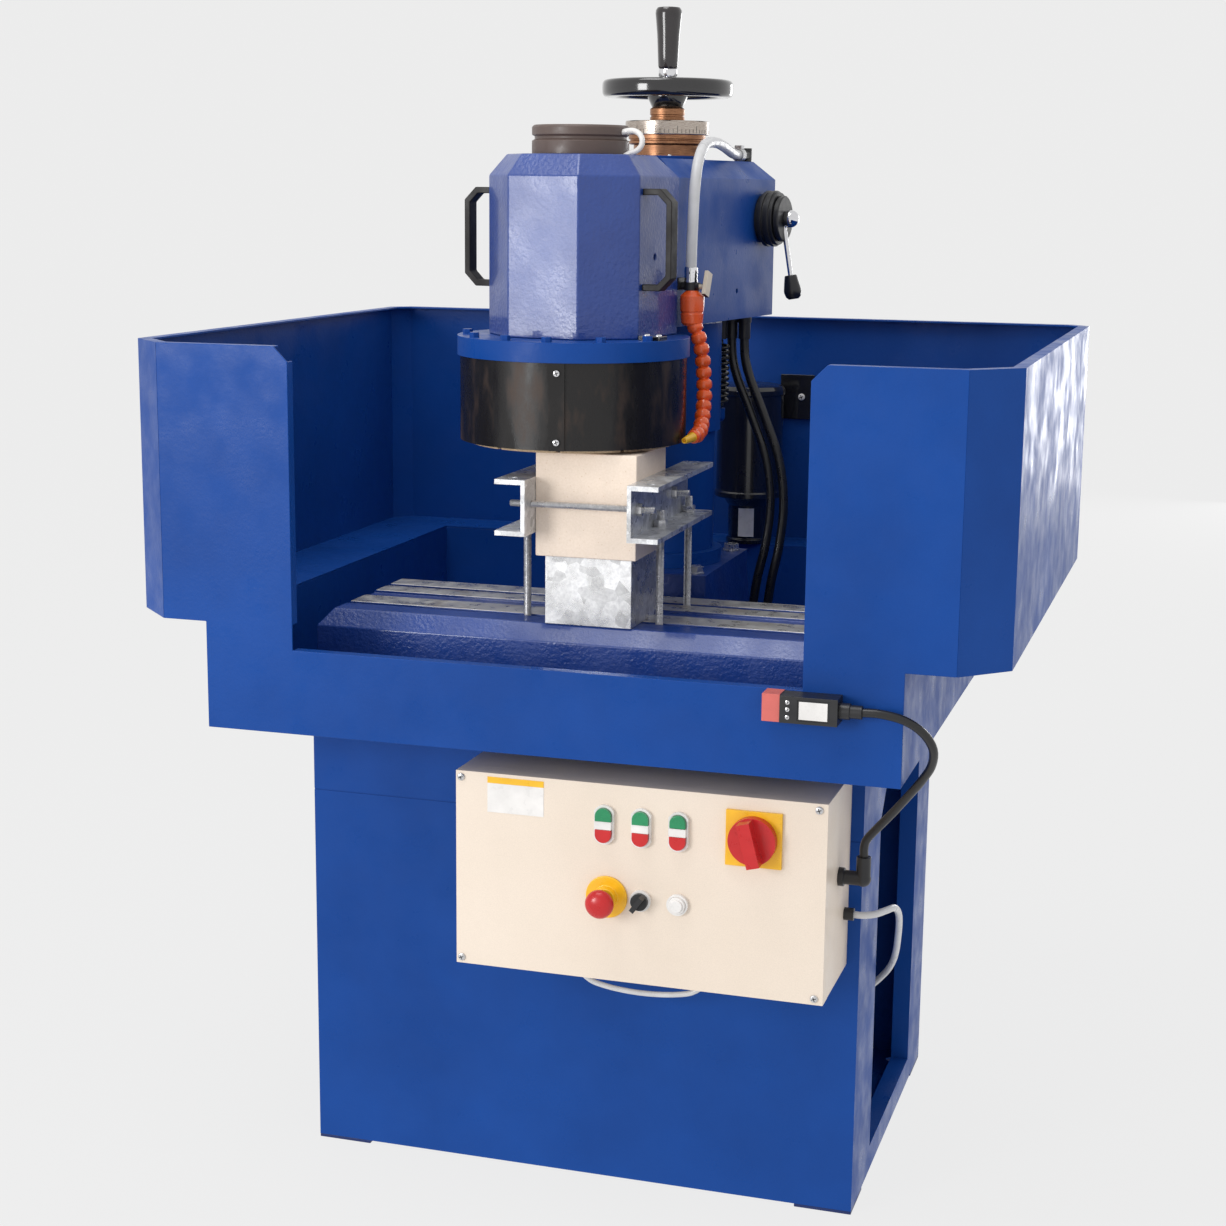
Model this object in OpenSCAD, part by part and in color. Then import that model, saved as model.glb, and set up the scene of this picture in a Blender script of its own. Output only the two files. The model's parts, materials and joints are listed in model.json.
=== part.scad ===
/* [Base cabinet] */
// Width of the base cabinet
cabinet_w = 845; // [760:5:900]
// Depth of the base cabinet
cabinet_d = 612; // [590:2:660]
// Height of the cabinet's top edge above the floor
cabinet_h = 701; // [680:1:740]
// Sheet metal thickness of the cabinet, tray and guard
sheet = 3; // [2:0.5:4]
// Side of each square foot pad
pad_side = 85; // [60:5:110]
// Thickness of the foot pads
pad_t = 5; // [4:1:12]
// Radius of the anchor holes
anchor_r = 7; // [5:0.5:9]
// Depth of the side windows, front to back
window_d = 350; // [260:10:400]
// Height of the side windows
window_h = 575; // [400:5:600]

/* [Coolant tray and splash guard] */
// Width of the coolant tray
tray_w = 1003; // [960:1:1060]
// Distance from the cabinet's front to the front sheet
front_overhang = 183; // [170:1:200]
// Distance from the cabinet's front to the tray's back wall
tray_back = 748; // [700:2:770]
// Depth of the coolant tray
tray_h = 155; // [140:1:170]
// Width across the splash guard
guard_w = 1263; // [1200:1:1320]
// Distance from the cabinet's front to the guard's back wall
guard_back = 835; // [820:1:860]
// Height of the guard's top edge above the floor
guard_top = 1250; // [1200:5:1280]
// Leg of the guard's front corner chamfers
guard_chamfer = 63; // [40:1:80]
// Width of the loading opening in the front
opening_w = 734; // [640:2:760]
// Height of the apron's top edge above the floor
apron_top = 823; // [800:1:840]

/* [Work table] */
// Width of the table's top face
table_w = 770; // [700:5:820]
// Depth of the table's top face
table_d = 261; // [250:1:270]
// Height of the table's top face above the floor
table_top = 850; // [840:1:860]
// Width of the neck of each slot in the table
slot_w = 14; // [10:1:18]

/* [Column and swing arm] */
// Distance from the cabinet's front to the column's axis
column_y = 425; // [415:1:435]
// Radius of the column
column_r = 84; // [78:1:88]
// Angle of the swing arm at rest, negative to the left
rest_swing = -8; // [-30:1:30]
// Distance from the column's axis to the spindle's axis
arm_reach = 326; // [310:1:340]
// Half the width of the swing arm
arm_half_w = 117; // [114:1:122]
// Height of the arm's underside above the floor
arm_bottom = 1268; // [1262:1:1276]
// Height of the arm's top face above the floor
arm_top = 1512; // [1506:1:1520]
// Width of the octagonal grinding head
head_w = 240; // [230:2:250]
// Leg of the head's corner chamfers
head_chamfer = 65; // [50:1:75]

/* [Grinding wheel] */
// Outer radius of the grinding wheel
wheel_r = 150; // [130:1:152]
// Number of abrasive segments
segment_count = 10; // [6:2:12]
// Height of the wheel's cutting face above the floor
wheel_bottom = 1103; // [1102:1:1106]
// Outer radius of the splash skirt
skirt_r = 165; // [163:1:170]
// Radius of the head's flange
flange_r = 169; // [166:1:174]

/* [Handwheel] */
// Outer radius of the handwheel
handwheel_r = 102; // [90:1:120]
// Radius from the handwheel's axis to the crank handle
crank_r = 84; // [70:1:92]
// Radius of the feed screw
screw_r = 15; // [12:0.5:16]
// Height of the crank handle's top above the floor
crank_top = 1737; // [1720:1:1760]

/* [Control box] */
// Width of the control box
box_w = 530; // [520:2:560]
// Height of the control box
box_h = 283; // [270:1:300]
// Depth of the control box
box_d = 169; // [160:1:176]
// Distance from the centre plane to the box's left side
box_left = 126; // [120:1:140]
// Height of the box's underside above the floor
box_bottom = 384; // [370:1:395]
// Diameter of the emergency stop button
estop_d = 40; // [36:1:44]

/* [Work holding] */
// Side of the cube-shaped specimen
cube_side = 150; // [140:1:150]
// Height of the riser block under the specimen
riser_h = 101; // [95:1:101]
// Distance from the centre plane to the specimen's centre
work_x = 13; // [8:1:18]

/* [Hidden] */
$fn = 64;
fit_gap = 0.05;  // radial clearance of a running fit
part_gap = 0.3;  // space between pieces that move past each other
hair = 0.01;
blue = "royalblue";
cream = "antiquewhite";

// Depths are measured from the cabinet's front; the origin is at the middle of the whole depth.
front_reach = 217;
middle_y = (guard_back - front_reach) / 2;
module placed() { translate([0, -middle_y, 0]) children(); }

// The swing arm's own frame has its origin on the column's axis and +Y towards the arm's rear.
module on_arm() {
    placed() translate([0, column_y, 0]) rotate([0, 0, rest_swing]) children();
}
module on_head() { on_arm() translate([0, -arm_reach, 0]) children(); }

// ---- shared shapes ----
module block(low, high) { translate(low) cube(high - low); }

module ring(outer, inner, height) {
    difference() {
        cylinder(r = outer, h = height);
        translate([0, 0, -1]) cylinder(r = inner, h = height + 2);
    }
}

module hex_prism(across_flats, height) {
    cylinder(r = across_flats / 2 / cos(30), h = height, $fn = 6);
}

// An outline in the XZ plane, extruded from y0 towards +Y.
module along_y(y0, depth) {
    translate([0, y0 + depth, 0]) rotate([90, 0, 0]) linear_extrude(height = depth) children();
}

// An outline in the YZ plane, extruded from x0 towards +X.
module along_x(x0, width) {
    translate([x0, 0, 0]) rotate([90, 0, 90]) linear_extrude(height = width) children();
}

// A cylinder whose axis points along +Y from y0.
module rod_y(x, y0, z, r, length) {
    translate([x, y0, z]) rotate([-90, 0, 0]) cylinder(r = r, h = length);
}

// A cylinder whose axis points along +X from x0.
module rod_x(x0, y, z, r, length) {
    translate([x0, y, z]) rotate([0, 90, 0]) cylinder(r = r, h = length);
}

// Points of a smooth curve through a route, with a number of steps between two points.
function between(a, b, c, d, t) = 0.5 * (2 * b + (c - a) * t
    + (2 * a - 5 * b + 4 * c - d) * t * t + (3 * b - a - 3 * c + d) * t * t * t);
function curve(route, steps) = [
    for (i = [0 : len(route) - 2], k = [0 : steps - 1])
        between(route[max(i - 1, 0)], route[i], route[i + 1],
            route[min(i + 2, len(route) - 1)], k / steps),
    route[len(route) - 1]];
function unit(v) = v / norm(v);
up = [0, 0, 1];

// A round tube swept along a curve. The curve never runs parallel to the reference direction.
// The ends are cut square to the directions in ends.
module swept_tube(points, radius, sides, reference, ends) {
    last = len(points) - 1;
    skin = [for (i = [0 : last])
        let (t = i == 0 ? ends[0] : i == last ? ends[1] : unit(points[i + 1] - points[i - 1]),
            u = unit(cross(reference, t)),
            v = cross(t, u))
        for (k = [0 : sides - 1])
            points[i] + radius * (cos(360 * k / sides) * u + sin(360 * k / sides) * v)];
    walls = [for (i = [0 : last - 1], k = [0 : sides - 1], half = [0, 1])
        let (a = i * sides + k, b = i * sides + (k + 1) % sides)
        half == 0 ? [a, a + sides, b] : [b, a + sides, b + sides]];
    near_end = [for (k = [0 : sides - 1]) k];
    far_end = [for (k = [sides - 1 : -1 : 0]) last * sides + k];
    polyhedron(points = skin, faces = concat(walls, [near_end, far_end]), convexity = 4);
}

// ---- base cabinet ----
window_y = [142, 142 + window_d];
window_z = [45, 45 + window_h];
window_corner = 60;
window_return = 25;
seam_z = 566;
seam_h = 2;
rim_w = 40;

// Outline of a side window, grown by a margin.
module window_outline(margin) {
    polygon([
        [window_y[0] - margin, window_z[0] - margin],
        [window_y[1] + margin, window_z[0] - margin],
        [window_y[1] + margin, window_z[1] - window_corner + margin * 0.414],
        [window_y[1] - window_corner + margin * 0.414, window_z[1] + margin],
        [window_y[0] + window_corner - margin * 0.414, window_z[1] + margin],
        [window_y[0] - margin, window_z[1] - window_corner + margin * 0.414]]);
}

module base_cabinet() {
    color(blue) placed() {
        half = cabinet_w / 2;
        difference() {
            block([-half, 0, pad_t], [half, cabinet_d, cabinet_h]);
            block([-half + sheet, sheet, pad_t + sheet],
                [half - sheet, cabinet_d - sheet, cabinet_h - sheet]);
            block([-half + rim_w, rim_w, cabinet_h - sheet - 1],
                [half - rim_w, cabinet_d - rim_w, cabinet_h + 1]);
            along_x(-half - 1, cabinet_w + 2) window_outline(0);
            block([-half - 1, -1, seam_z], [half + 1, 1, seam_z + seam_h]);
            for (x = anchor_x, y = anchor_y)
                translate([x, y, 0]) cylinder(r = anchor_r, h = pad_t + 2 * sheet);
        }
        for (x0 = [-half + sheet, half - sheet - window_return])
            along_x(x0, window_return) difference() {
                window_outline(sheet);
                window_outline(0);
            }
    }
}

anchor_x = [-(cabinet_w - pad_side) / 2, (cabinet_w - pad_side) / 2];
anchor_y = [pad_side / 2, cabinet_d - pad_side / 2];
module foot_pads() {
    color("midnightblue") placed()
        for (x = anchor_x, y = anchor_y)
            translate([x, y, 0]) difference() {
                translate([-pad_side / 2, -pad_side / 2, 0]) cube([pad_side, pad_side, pad_t]);
                translate([0, 0, -1]) cylinder(r = anchor_r, h = pad_t + 2);
            }
}

// ---- coolant tray and splash guard ----
tray_half = tray_w / 2;
tray_top = cabinet_h + tray_h;
front_y = -front_overhang;
inner_front = front_y + sheet;
drain = [-300, 520];
drain_r = 25;
drain_drop = 60;

module coolant_tray() {
    color(blue) placed() {
        difference() {
            union() {
                difference() {
                    block([-tray_half, inner_front, cabinet_h], [tray_half, tray_back, tray_top]);
                    block([-tray_half + sheet, inner_front - 1, cabinet_h + sheet],
                        [tray_half - sheet, tray_back - sheet, tray_top + 1]);
                }
                translate([drain[0], drain[1], cabinet_h - drain_drop])
                    cylinder(r = drain_r + sheet, h = drain_drop + hair);
            }
            translate([drain[0], drain[1], cabinet_h - drain_drop - 1])
                cylinder(r = drain_r, h = drain_drop + sheet + 2);
        }
    }
}

opening_half = opening_w / 2;
opening_corner = 21;
front_half = guard_w / 2 - guard_chamfer;
hem = 15;

module front_sheet() {
    color(blue) placed() {
        along_y(front_y, sheet) polygon([
            [-tray_half, cabinet_h], [tray_half, cabinet_h], [tray_half, tray_top],
            [front_half, tray_top], [front_half, guard_top],
            [opening_half + opening_corner, guard_top],
            [opening_half, guard_top - opening_corner],
            [opening_half, apron_top], [-opening_half, apron_top],
            [-opening_half, guard_top - opening_corner],
            [-opening_half - opening_corner, guard_top],
            [-front_half, guard_top], [-front_half, tray_top], [-tray_half, tray_top]]);
        block([-opening_half, inner_front, apron_top - sheet],
            [opening_half, inner_front + hem, apron_top]);
        for (side = [-1, 1]) scale_x(side) {
            block([opening_half, inner_front, tray_top + sheet],
                [opening_half + sheet, inner_front + hem, guard_top - opening_corner]);
            block([opening_half + opening_corner, inner_front, guard_top - sheet],
                [front_half, inner_front + hem, guard_top]);
        }
    }
}

module scale_x(side) { mirror([side < 0 ? 1 : 0, 0, 0]) children(); }

// Outline of the splash guard seen from above, set in by a distance from its outer face.
module guard_outline(inset) {
    half = guard_w / 2 - inset;
    front = front_y + inset;
    back = guard_back - inset;
    front_leg = guard_chamfer - inset * (2 - sqrt(2));
    back_leg = 30 - inset * (2 - sqrt(2));
    polygon([
        [-half + front_leg, front], [half - front_leg, front], [half, front + front_leg],
        [half, back - back_leg], [half - back_leg, back], [-half + back_leg, back],
        [-half, back - back_leg], [-half, front + front_leg]]);
}

module splash_guard() {
    color(blue) placed() difference() {
        union() {
            translate([0, 0, tray_top]) linear_extrude(height = guard_top - tray_top)
                difference() {
                    guard_outline(0);
                    guard_outline(sheet);
                }
            translate([0, 0, tray_top]) linear_extrude(height = sheet) difference() {
                guard_outline(sheet - hair);
                translate([-tray_half + sheet, front_y]) square([tray_w - 2 * sheet,
                    tray_back - front_y - sheet]);
            }
            translate([0, 0, guard_top - sheet]) linear_extrude(height = sheet) difference() {
                guard_outline(sheet - hair);
                guard_outline(sheet + hem);
            }
        }
        block([-front_half, front_y - 1, tray_top - 1], [front_half, inner_front, guard_top + 1]);
        block([-front_half, front_y - 1, guard_top - sheet - 1],
            [front_half, inner_front + hem + 1, guard_top + 1]);
    }
}

// ---- work table ----
table_base = cabinet_h + sheet;
table_bevel = [20, 24];
slot_y = [52, 206];
slot_depth = 22;
slot_foot = [24, 10];
groove_y = [115, 155];
groove_depth = 5;
table_front = -table_bevel[0];

module table_bed() {
    color(blue) placed() difference() {
        intersection() {
            along_x(-table_w, 2 * table_w) polygon([
                [table_front, table_base], [table_d, table_base], [table_d, table_top],
                [0, table_top], [table_front, table_top - table_bevel[1]]]);
            along_y(table_front - 1, table_d + table_bevel[0] + 2) polygon([
                [-table_w / 2 - table_bevel[0], table_base],
                [table_w / 2 + table_bevel[0], table_base],
                [table_w / 2 + table_bevel[0], table_top - table_bevel[1]],
                [table_w / 2, table_top], [-table_w / 2, table_top],
                [-table_w / 2 - table_bevel[0], table_top - table_bevel[1]]]);
        }
        for (y = slot_y) {
            block([-table_w, y - slot_w / 2, table_top - slot_depth],
                [table_w, y + slot_w / 2, table_top + 1]);
            block([-table_w, y - slot_foot[0] / 2, table_top - slot_depth],
                [table_w, y + slot_foot[0] / 2, table_top - slot_depth + slot_foot[1]]);
        }
        block([-table_w, groove_y[0], table_top - groove_depth],
            [table_w, groove_y[1], table_top + 1]);
    }
}

// ---- column ----
foot_half_w = 111;
foot_y = [287, 563];
foot_plate_t = 30;
foot_spread = 10;
foot_top = table_top + foot_plate_t;
bolt_inset = 22;
bolt_x = [-foot_half_w + bolt_inset, foot_half_w - bolt_inset];
bolt_y = [foot_y[0] + bolt_inset, foot_y[1] - bolt_inset];
bolt_shank_r = 6.9;
bolt_hole_r = 7;
bolt_depth = 45;

module column_foot() {
    color(blue) placed() difference() {
        union() {
            block([-foot_half_w, foot_y[0], table_top], [foot_half_w, foot_y[1], foot_top]);
            hull() {
                block([-foot_half_w, foot_y[0], table_top - 10],
                    [foot_half_w, foot_y[1], table_top + hair]);
                block([-foot_half_w - foot_spread, foot_y[0] - foot_spread, table_base],
                    [foot_half_w + foot_spread, foot_y[1] + foot_spread, table_base + 1]);
            }
        }
        translate([0, column_y, table_top]) cylinder(r = column_r + 0.02, h = foot_plate_t + 1);
        for (x = bolt_x, y = bolt_y)
            translate([x, y, foot_top - bolt_depth]) cylinder(r = bolt_hole_r, h = bolt_depth + 1);
    }
}

module foot_bolts() {
    color("silver") placed()
        for (x = bolt_x, y = bolt_y)
            translate([x, y, 0]) {
                translate([0, 0, foot_top - bolt_depth + 2])
                    cylinder(r = bolt_shank_r, h = bolt_depth - 2 + hair);
                translate([0, 0, foot_top]) cylinder(r = 14, h = 2.5);
                translate([0, 0, foot_top + 2.5 - hair]) hex_prism(22, 9);
            }
}

column_top = arm_top - 42;
column_bore_r = 64;
collar_r = 98;
collar_h = 22;
bearing_t = 12;

// The column is a tube; its foot collar and the thrust washer on its top are separate rings.
module column() {
    color(blue) placed() translate([0, column_y, 0]) {
        translate([0, 0, table_top]) ring(column_r, column_bore_r, column_top - table_top);
        translate([0, 0, foot_top]) ring(collar_r, column_r + 0.02, collar_h);
        translate([0, 0, column_top]) ring(column_r - 1, column_bore_r + 1, bearing_t);
    }
}

// ---- swing sleeve and its feed nut ----
sleeve_r = column_r + 8;
sleeve_bottom = 1092;
sleeve_top = arm_top - 12;
sleeve_cap = column_top + bearing_t + part_gap;
nut_r = 30;
nut_drop = 60;
key = [12, 6, 170];
key_bottom = arm_bottom + 14;

// The elbow that carries the coiled hose's lower end into the sleeve.
module coil_elbow() {
    reach = norm(coil_at);
    rotate([0, 0, atan2(coil_at[1], coil_at[0])]) {
        rod_x(sleeve_r - 2, 0, coil_z[0] - 14, 7, reach - sleeve_r + 2);
        translate([reach, 0, coil_z[0] - 14]) sphere(r = 8);
        translate([reach, 0, coil_z[0] - 14]) cylinder(r = 8, h = 14);
    }
}

// The sleeve turns on the column; the feed nut is a separate ring pressed into its cap.
module swing_sleeve() {
    color(blue) on_arm() {
        difference() {
            translate([0, 0, sleeve_bottom]) cylinder(r = sleeve_r, h = sleeve_top - sleeve_bottom);
            translate([0, 0, sleeve_bottom - 1])
                cylinder(r = column_r + fit_gap, h = sleeve_cap - sleeve_bottom + 1);
            translate([0, 0, sleeve_cap - 1]) cylinder(r = nut_r + 0.02, h = 40);
        }
        block([-key[0] / 2, sleeve_r - 2, key_bottom],
            [key[0] / 2, sleeve_r + key[1], key_bottom + key[2]]);
        coil_elbow();
        translate([0, 0, sleeve_top - nut_drop]) ring(nut_r, screw_r + fit_gap, nut_drop);
    }
}

// ---- swing arm ----
arm_rear = 172;
arm_front = -arm_reach + 100;
arm_bevel = 28;
wall = 10;
boss_r = 112;
gland_at = [[66, 124], [88, 124]];
coil_at = [58, 100];
gland_bore = 8.8;
gland_r = 10.9;
clamp_y = 118;
clamp_z = 1423;
clamp_shaft_r = 8;
arm_hole = [15, 1312];

module arm_casing() {
    color(blue) on_arm() difference() {
        intersection() {
            along_y(arm_front, arm_rear - arm_front) polygon([
                [-arm_half_w, arm_bottom], [arm_half_w, arm_bottom],
                [arm_half_w, arm_top - arm_bevel], [arm_half_w - arm_bevel, arm_top],
                [-arm_half_w + arm_bevel, arm_top], [-arm_half_w, arm_top - arm_bevel]]);
            along_x(-arm_half_w - 1, 2 * arm_half_w + 2) polygon([
                [arm_front, arm_bottom], [arm_rear, arm_bottom], [arm_rear, arm_top - arm_bevel],
                [arm_rear - arm_bevel, arm_top], [arm_front, arm_top]]);
        }
        difference() {
            intersection() {
                along_y(arm_front - 1, arm_rear - arm_front - wall + 1) polygon([
                    [-arm_half_w + wall, arm_bottom + wall], [arm_half_w - wall, arm_bottom + wall],
                    [arm_half_w - wall, arm_top - arm_bevel], [arm_half_w - arm_bevel, arm_top - wall],
                    [-arm_half_w + arm_bevel, arm_top - wall],
                    [-arm_half_w + wall, arm_top - arm_bevel]]);
                along_x(-arm_half_w, 2 * arm_half_w) polygon([
                    [arm_front - 1, arm_bottom], [arm_rear - wall, arm_bottom],
                    [arm_rear - wall, arm_top - arm_bevel],
                    [arm_rear - arm_bevel, arm_top - wall], [arm_front - 1, arm_top - wall]]);
            }
            cylinder(r = boss_r, h = arm_top);
        }
        translate([0, 0, arm_bottom - 1])
            cylinder(r = sleeve_r + fit_gap, h = arm_top - wall - arm_bottom + 1);
        translate([0, 0, arm_bottom]) cylinder(r = screw_r + 4, h = arm_top);
        block([-key[0] / 2 - part_gap, sleeve_r - 3, arm_bottom - 1],
            [key[0] / 2 + part_gap, sleeve_r + key[1] + part_gap, arm_top - wall]);
        for (at = concat(gland_at, [coil_at]))
            translate([at[0], at[1], arm_bottom - 1]) cylinder(r = gland_bore, h = wall + 2);
        rod_x(arm_half_w - 30, clamp_y, clamp_z, clamp_shaft_r + fit_gap, 40);
        rod_x(arm_half_w - 6, arm_hole[0], arm_hole[1], 4, 10);
    }
}

// ---- grinding head ----
head_half = head_w / 2;
head_top = arm_top + 3;
head_bevel = 30;
head_floor = 1258;
head_back = 100;
head_front = 102;
cap_r = 70;
cap_h = 41;
cap_y = 18;
spindle_r = 20;
head_hole = [17, 1372];

module head_outline(inset) {
    half = head_half - inset;
    front = inset - head_front;
    leg = head_chamfer - inset * (2 - sqrt(2));
    polygon([
        [-half + leg, front], [half - leg, front], [half, front + leg],
        [half, head_back - inset], [-half, head_back - inset], [-half, front + leg]]);
}

module head_casing() {
    color(blue) on_head() difference() {
        union() {
            translate([0, 0, head_floor])
                linear_extrude(height = head_top - head_bevel - head_floor) head_outline(0);
            hull() {
                translate([0, 0, head_top - head_bevel - hair])
                    linear_extrude(height = hair) head_outline(0);
                translate([0, 0, head_top - hair]) linear_extrude(height = hair)
                    intersection() {
                        head_outline(head_bevel * 0.8);
                        translate([-head_w, -head_w])
                            square([2 * head_w, head_w + head_back - head_bevel]);
                    }
            }
        }
        translate([0, 0, head_floor + wall])
            linear_extrude(height = head_top - head_bevel - head_floor - wall) head_outline(wall);
        translate([0, 0, head_floor - 1]) cylinder(r = spindle_r + 14, h = 40);
        translate([0, 0, head_floor]) cylinder(r = 50, h = head_top);
        rod_y(0, head_back - 20, 1400, 30, 40);
        rod_x(head_half - 6, head_hole[0], head_hole[1], 4, 10);
    }
}

flange_t = 28;
skirt_t = 3;
skirt_bottom = 1108;
strap_angle = 18;
strap = [22, 2.5];
flange_bottom = head_floor - flange_t;

module head_flange() {
    color(blue) on_head() translate([0, 0, flange_bottom]) {
        ring(flange_r, spindle_r + 14, flange_t);
        for (a = [12, 40, 68, 292, 320, 348])
            rotate([0, 0, a - 90]) translate([flange_r - 14, 0, flange_t - hair])
                hex_prism(13, 7);
    }
}

module splash_skirt() {
    color("black") on_head() {
        translate([0, 0, skirt_bottom]) ring(skirt_r, skirt_r - skirt_t, flange_bottom - skirt_bottom);
        translate([0, 0, flange_bottom - 12]) ring(skirt_r - skirt_t + hair, skirt_r - 22, 12);
        rotate([0, 0, strap_angle]) {
            block([-strap[0] / 2, -skirt_r - strap[1], skirt_bottom],
                [strap[0] / 2, -skirt_r + 1, flange_bottom]);
            for (z = [skirt_bottom + 12, flange_bottom - 14])
                rod_y(0, -skirt_r - strap[1] - 3, z, 5, 4);
        }
    }
}

module motor_cap() {
    color("dimgray") on_head() translate([0, cap_y, head_top]) rotate_extrude() polygon([
        [0, 0], [cap_r, 0], [cap_r, 19], [cap_r - 4, 21], [cap_r - 4, 25], [cap_r, 27],
        [cap_r, cap_h - 3], [cap_r - 3, cap_h], [cap_r - 12, cap_h], [cap_r - 14, cap_h - 4],
        [0, cap_h - 4]]);
}

handle_z = [1326, 1468];
handle_out = 45;
handle_corner = 18;
handle_bar = [9, 22];
handle_y = -18;

module grab_handles() {
    color("black") on_head()
        for (side = [-1, 1]) scale_x(side)
            along_y(handle_y - handle_bar[1] / 2, handle_bar[1]) difference() {
                handle_outline(0);
                handle_outline(handle_bar[0]);
            }
}

module handle_outline(inset) {
    out = head_half + handle_out - inset;
    corner = handle_corner - inset * (2 - sqrt(2));
    low = handle_z[0] + inset;
    high = handle_z[1] - inset;
    root = head_half - (inset > 0 ? 1 : 0);
    polygon([[root, low], [out - corner, low], [out, low + corner], [out, high - corner],
        [out - corner, high], [root, high]]);
}

// The motor is one body with a bore for the spindle; its lower shield fills the head's floor.
motor_r = 88;
motor_z = [head_floor + wall + 1, head_top - head_bevel - 4];
module spindle_motor() {
    color("gray") on_head() difference() {
        union() {
            translate([0, 0, motor_z[0]]) cylinder(r = motor_r, h = motor_z[1] - motor_z[0]);
            translate([0, 0, motor_z[1] - hair]) cylinder(r = 48, h = head_top - motor_z[1]);
            translate([0, 0, flange_bottom]) cylinder(r = spindle_r + 13.98,
                h = motor_z[0] - flange_bottom + hair);
        }
        translate([0, 0, flange_bottom - 1])
            cylinder(r = spindle_r + fit_gap, h = head_top - flange_bottom - 20);
    }
}

// ---- coolant supply on the arm ----
hose_r = 8;
hose_ref = [0.5, 1, 0];
// Route of the coolant hose, in the arm's frame.
hose_route = [[80, 112, 1522], [80, 98, 1522], [83, 70, 1524], [90, 35, 1528], [98, -5, 1533],
    [106, -50, 1537], [114, -100, 1537], [124, -148, 1529], [132, -186, 1506], [136, -206, 1470],
    [137, -213, 1425], [135, -212, 1375], [135, -212, 1334]];
module coolant_hose() {
    color("lightgray") on_arm()
        swept_tube(curve(hose_route, 4), hose_r, 12, hose_ref, [[0, -1, 0], -up]);
}

valve_at = [135, -212];
valve_z = [1322, 1334];
pivot_z = 1328;
pivot_r = 4;
module valve_body() {
    color("black") on_arm() difference() {
        union() {
            translate([valve_at[0], valve_at[1], valve_z[0]])
                cylinder(r = 10, h = valve_z[1] - valve_z[0]);
            rod_x(arm_half_w, valve_at[1], pivot_z, 5.8, valve_at[0] - arm_half_w + 14);
            block([arm_half_w, valve_at[1] - 14, pivot_z - 5],
                [arm_half_w + 4, valve_at[1] + 14, pivot_z + 12]);
        }
        rod_x(valve_at[0] + 2, valve_at[1], pivot_z, pivot_r + fit_gap, 20);
    }
}

module valve_lever() {
    color("ivory") on_arm() {
        rod_x(valve_at[0] + 3, valve_at[1], pivot_z, pivot_r, 24);
        translate([valve_at[0] + 22, valve_at[1], pivot_z]) rotate([-20, 0, 0])
            block([0, -9, -14], [6, 9, 22]);
    }
}

block_z = 1275;
jet_r = 12;
jet_ref = [0, 1, 0.3];
// Route of the jointed coolant jet, in the arm's frame.
jet_route = [[140, -214, block_z + 2], [146, -213, 1262], [152, -210, 1240], [156, -208, 1205],
    [159, -211, 1168], [164, -228, 1140], [172, -256, 1121], [175, -284, 1116]];
module segmented_hose() {
    color("orangered") on_arm() {
        translate([138, -213, block_z]) cylinder(r1 = 16, r2 = 18, h = 40);
        translate([138, -213, block_z + 40 - hair]) cylinder(r1 = 18, r2 = 9, h = 7 + hair);
        swept_tube(curve(jet_route, 4), jet_r, 12, jet_ref, [-up, unit(jet_route[7] - jet_route[6])]);
        translate(jet_route[7]) rotate([95, 0, -2]) cylinder(r1 = 9, r2 = 5, h = 34);
    }
}

// ---- fittings under and on the arm ----
gland_drop = 38;
module arm_fittings() {
    color("black") on_arm() {
        for (at = gland_at) translate([at[0], at[1], 0]) {
            translate([0, 0, arm_bottom - gland_drop]) ring(gland_r - 1.2, gland_bore, gland_drop);
            translate([0, 0, arm_bottom - 12]) ring(gland_r, gland_bore, 12);
        }
        translate([coil_at[0], coil_at[1], arm_bottom - gland_drop]) cylinder(r = 8, h = gland_drop);
        translate([hose_route[0][0], hose_route[0][1] + 22, arm_top])
            cylinder(r = 9.5, h = hose_route[0][2] + 11 - arm_top);
        rod_y(hose_route[0][0], hose_route[0][1], hose_route[0][2], 9, 22);
    }
}

module screw_housing() {
    color("sienna") on_arm() translate([0, 0, arm_top]) difference() {
        union() {
            cylinder(r = 60, h = 6);
            cylinder(r = 52, h = 23);
        }
        translate([0, 0, -1]) cylinder(r = screw_r + 3 + fit_gap, h = 26);
    }
}

hub_r = 44;
hub_out = 30;
module clamp_hub() {
    color("black") on_arm() difference() {
        union() {
            rod_x(arm_half_w, clamp_y, clamp_z, hub_r - 6, 10);
            for (i = [0 : 3])
                rod_x(arm_half_w + 8 + i * 5.5, clamp_y, clamp_z, hub_r - (i % 2) * 3, 5.5 + hair);
        }
        rod_x(arm_half_w - 1, clamp_y, clamp_z, clamp_shaft_r + fit_gap, hub_out + 10);
    }
}

lever_x = arm_half_w + hub_out + part_gap;
lever_tilt = [0, 170, 0];
module clamp_lever() {
    color("silver") on_arm() {
        rod_x(arm_half_w - 28, clamp_y, clamp_z, clamp_shaft_r, hub_out + 40);
        rod_x(lever_x, clamp_y, clamp_z, hub_r - 8, 9);
        translate([lever_x + 18, clamp_y, clamp_z]) sphere(r = 14);
        translate([lever_x + 4.5, clamp_y, clamp_z]) rotate(lever_tilt) {
            cylinder(r = 4, h = 96);
            translate([0, 0, 90]) cylinder(r1 = 10, r2 = 14, h = 26);
            translate([0, 0, 116 - hair]) cylinder(r1 = 14, r2 = 8, h = 12);
        }
    }
}

// ---- spindle and grinding wheel ----
plate_top = 1160;
segment_h = 37;
segment_w = 36;
module spindle_shaft() {
    color("silver") on_head() {
        translate([0, 0, plate_top - 2]) cylinder(r = spindle_r, h = head_top - plate_top - 60);
        translate([0, 0, plate_top]) ring(42, spindle_r - hair, flange_bottom - plate_top - 10);
    }
}

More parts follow.
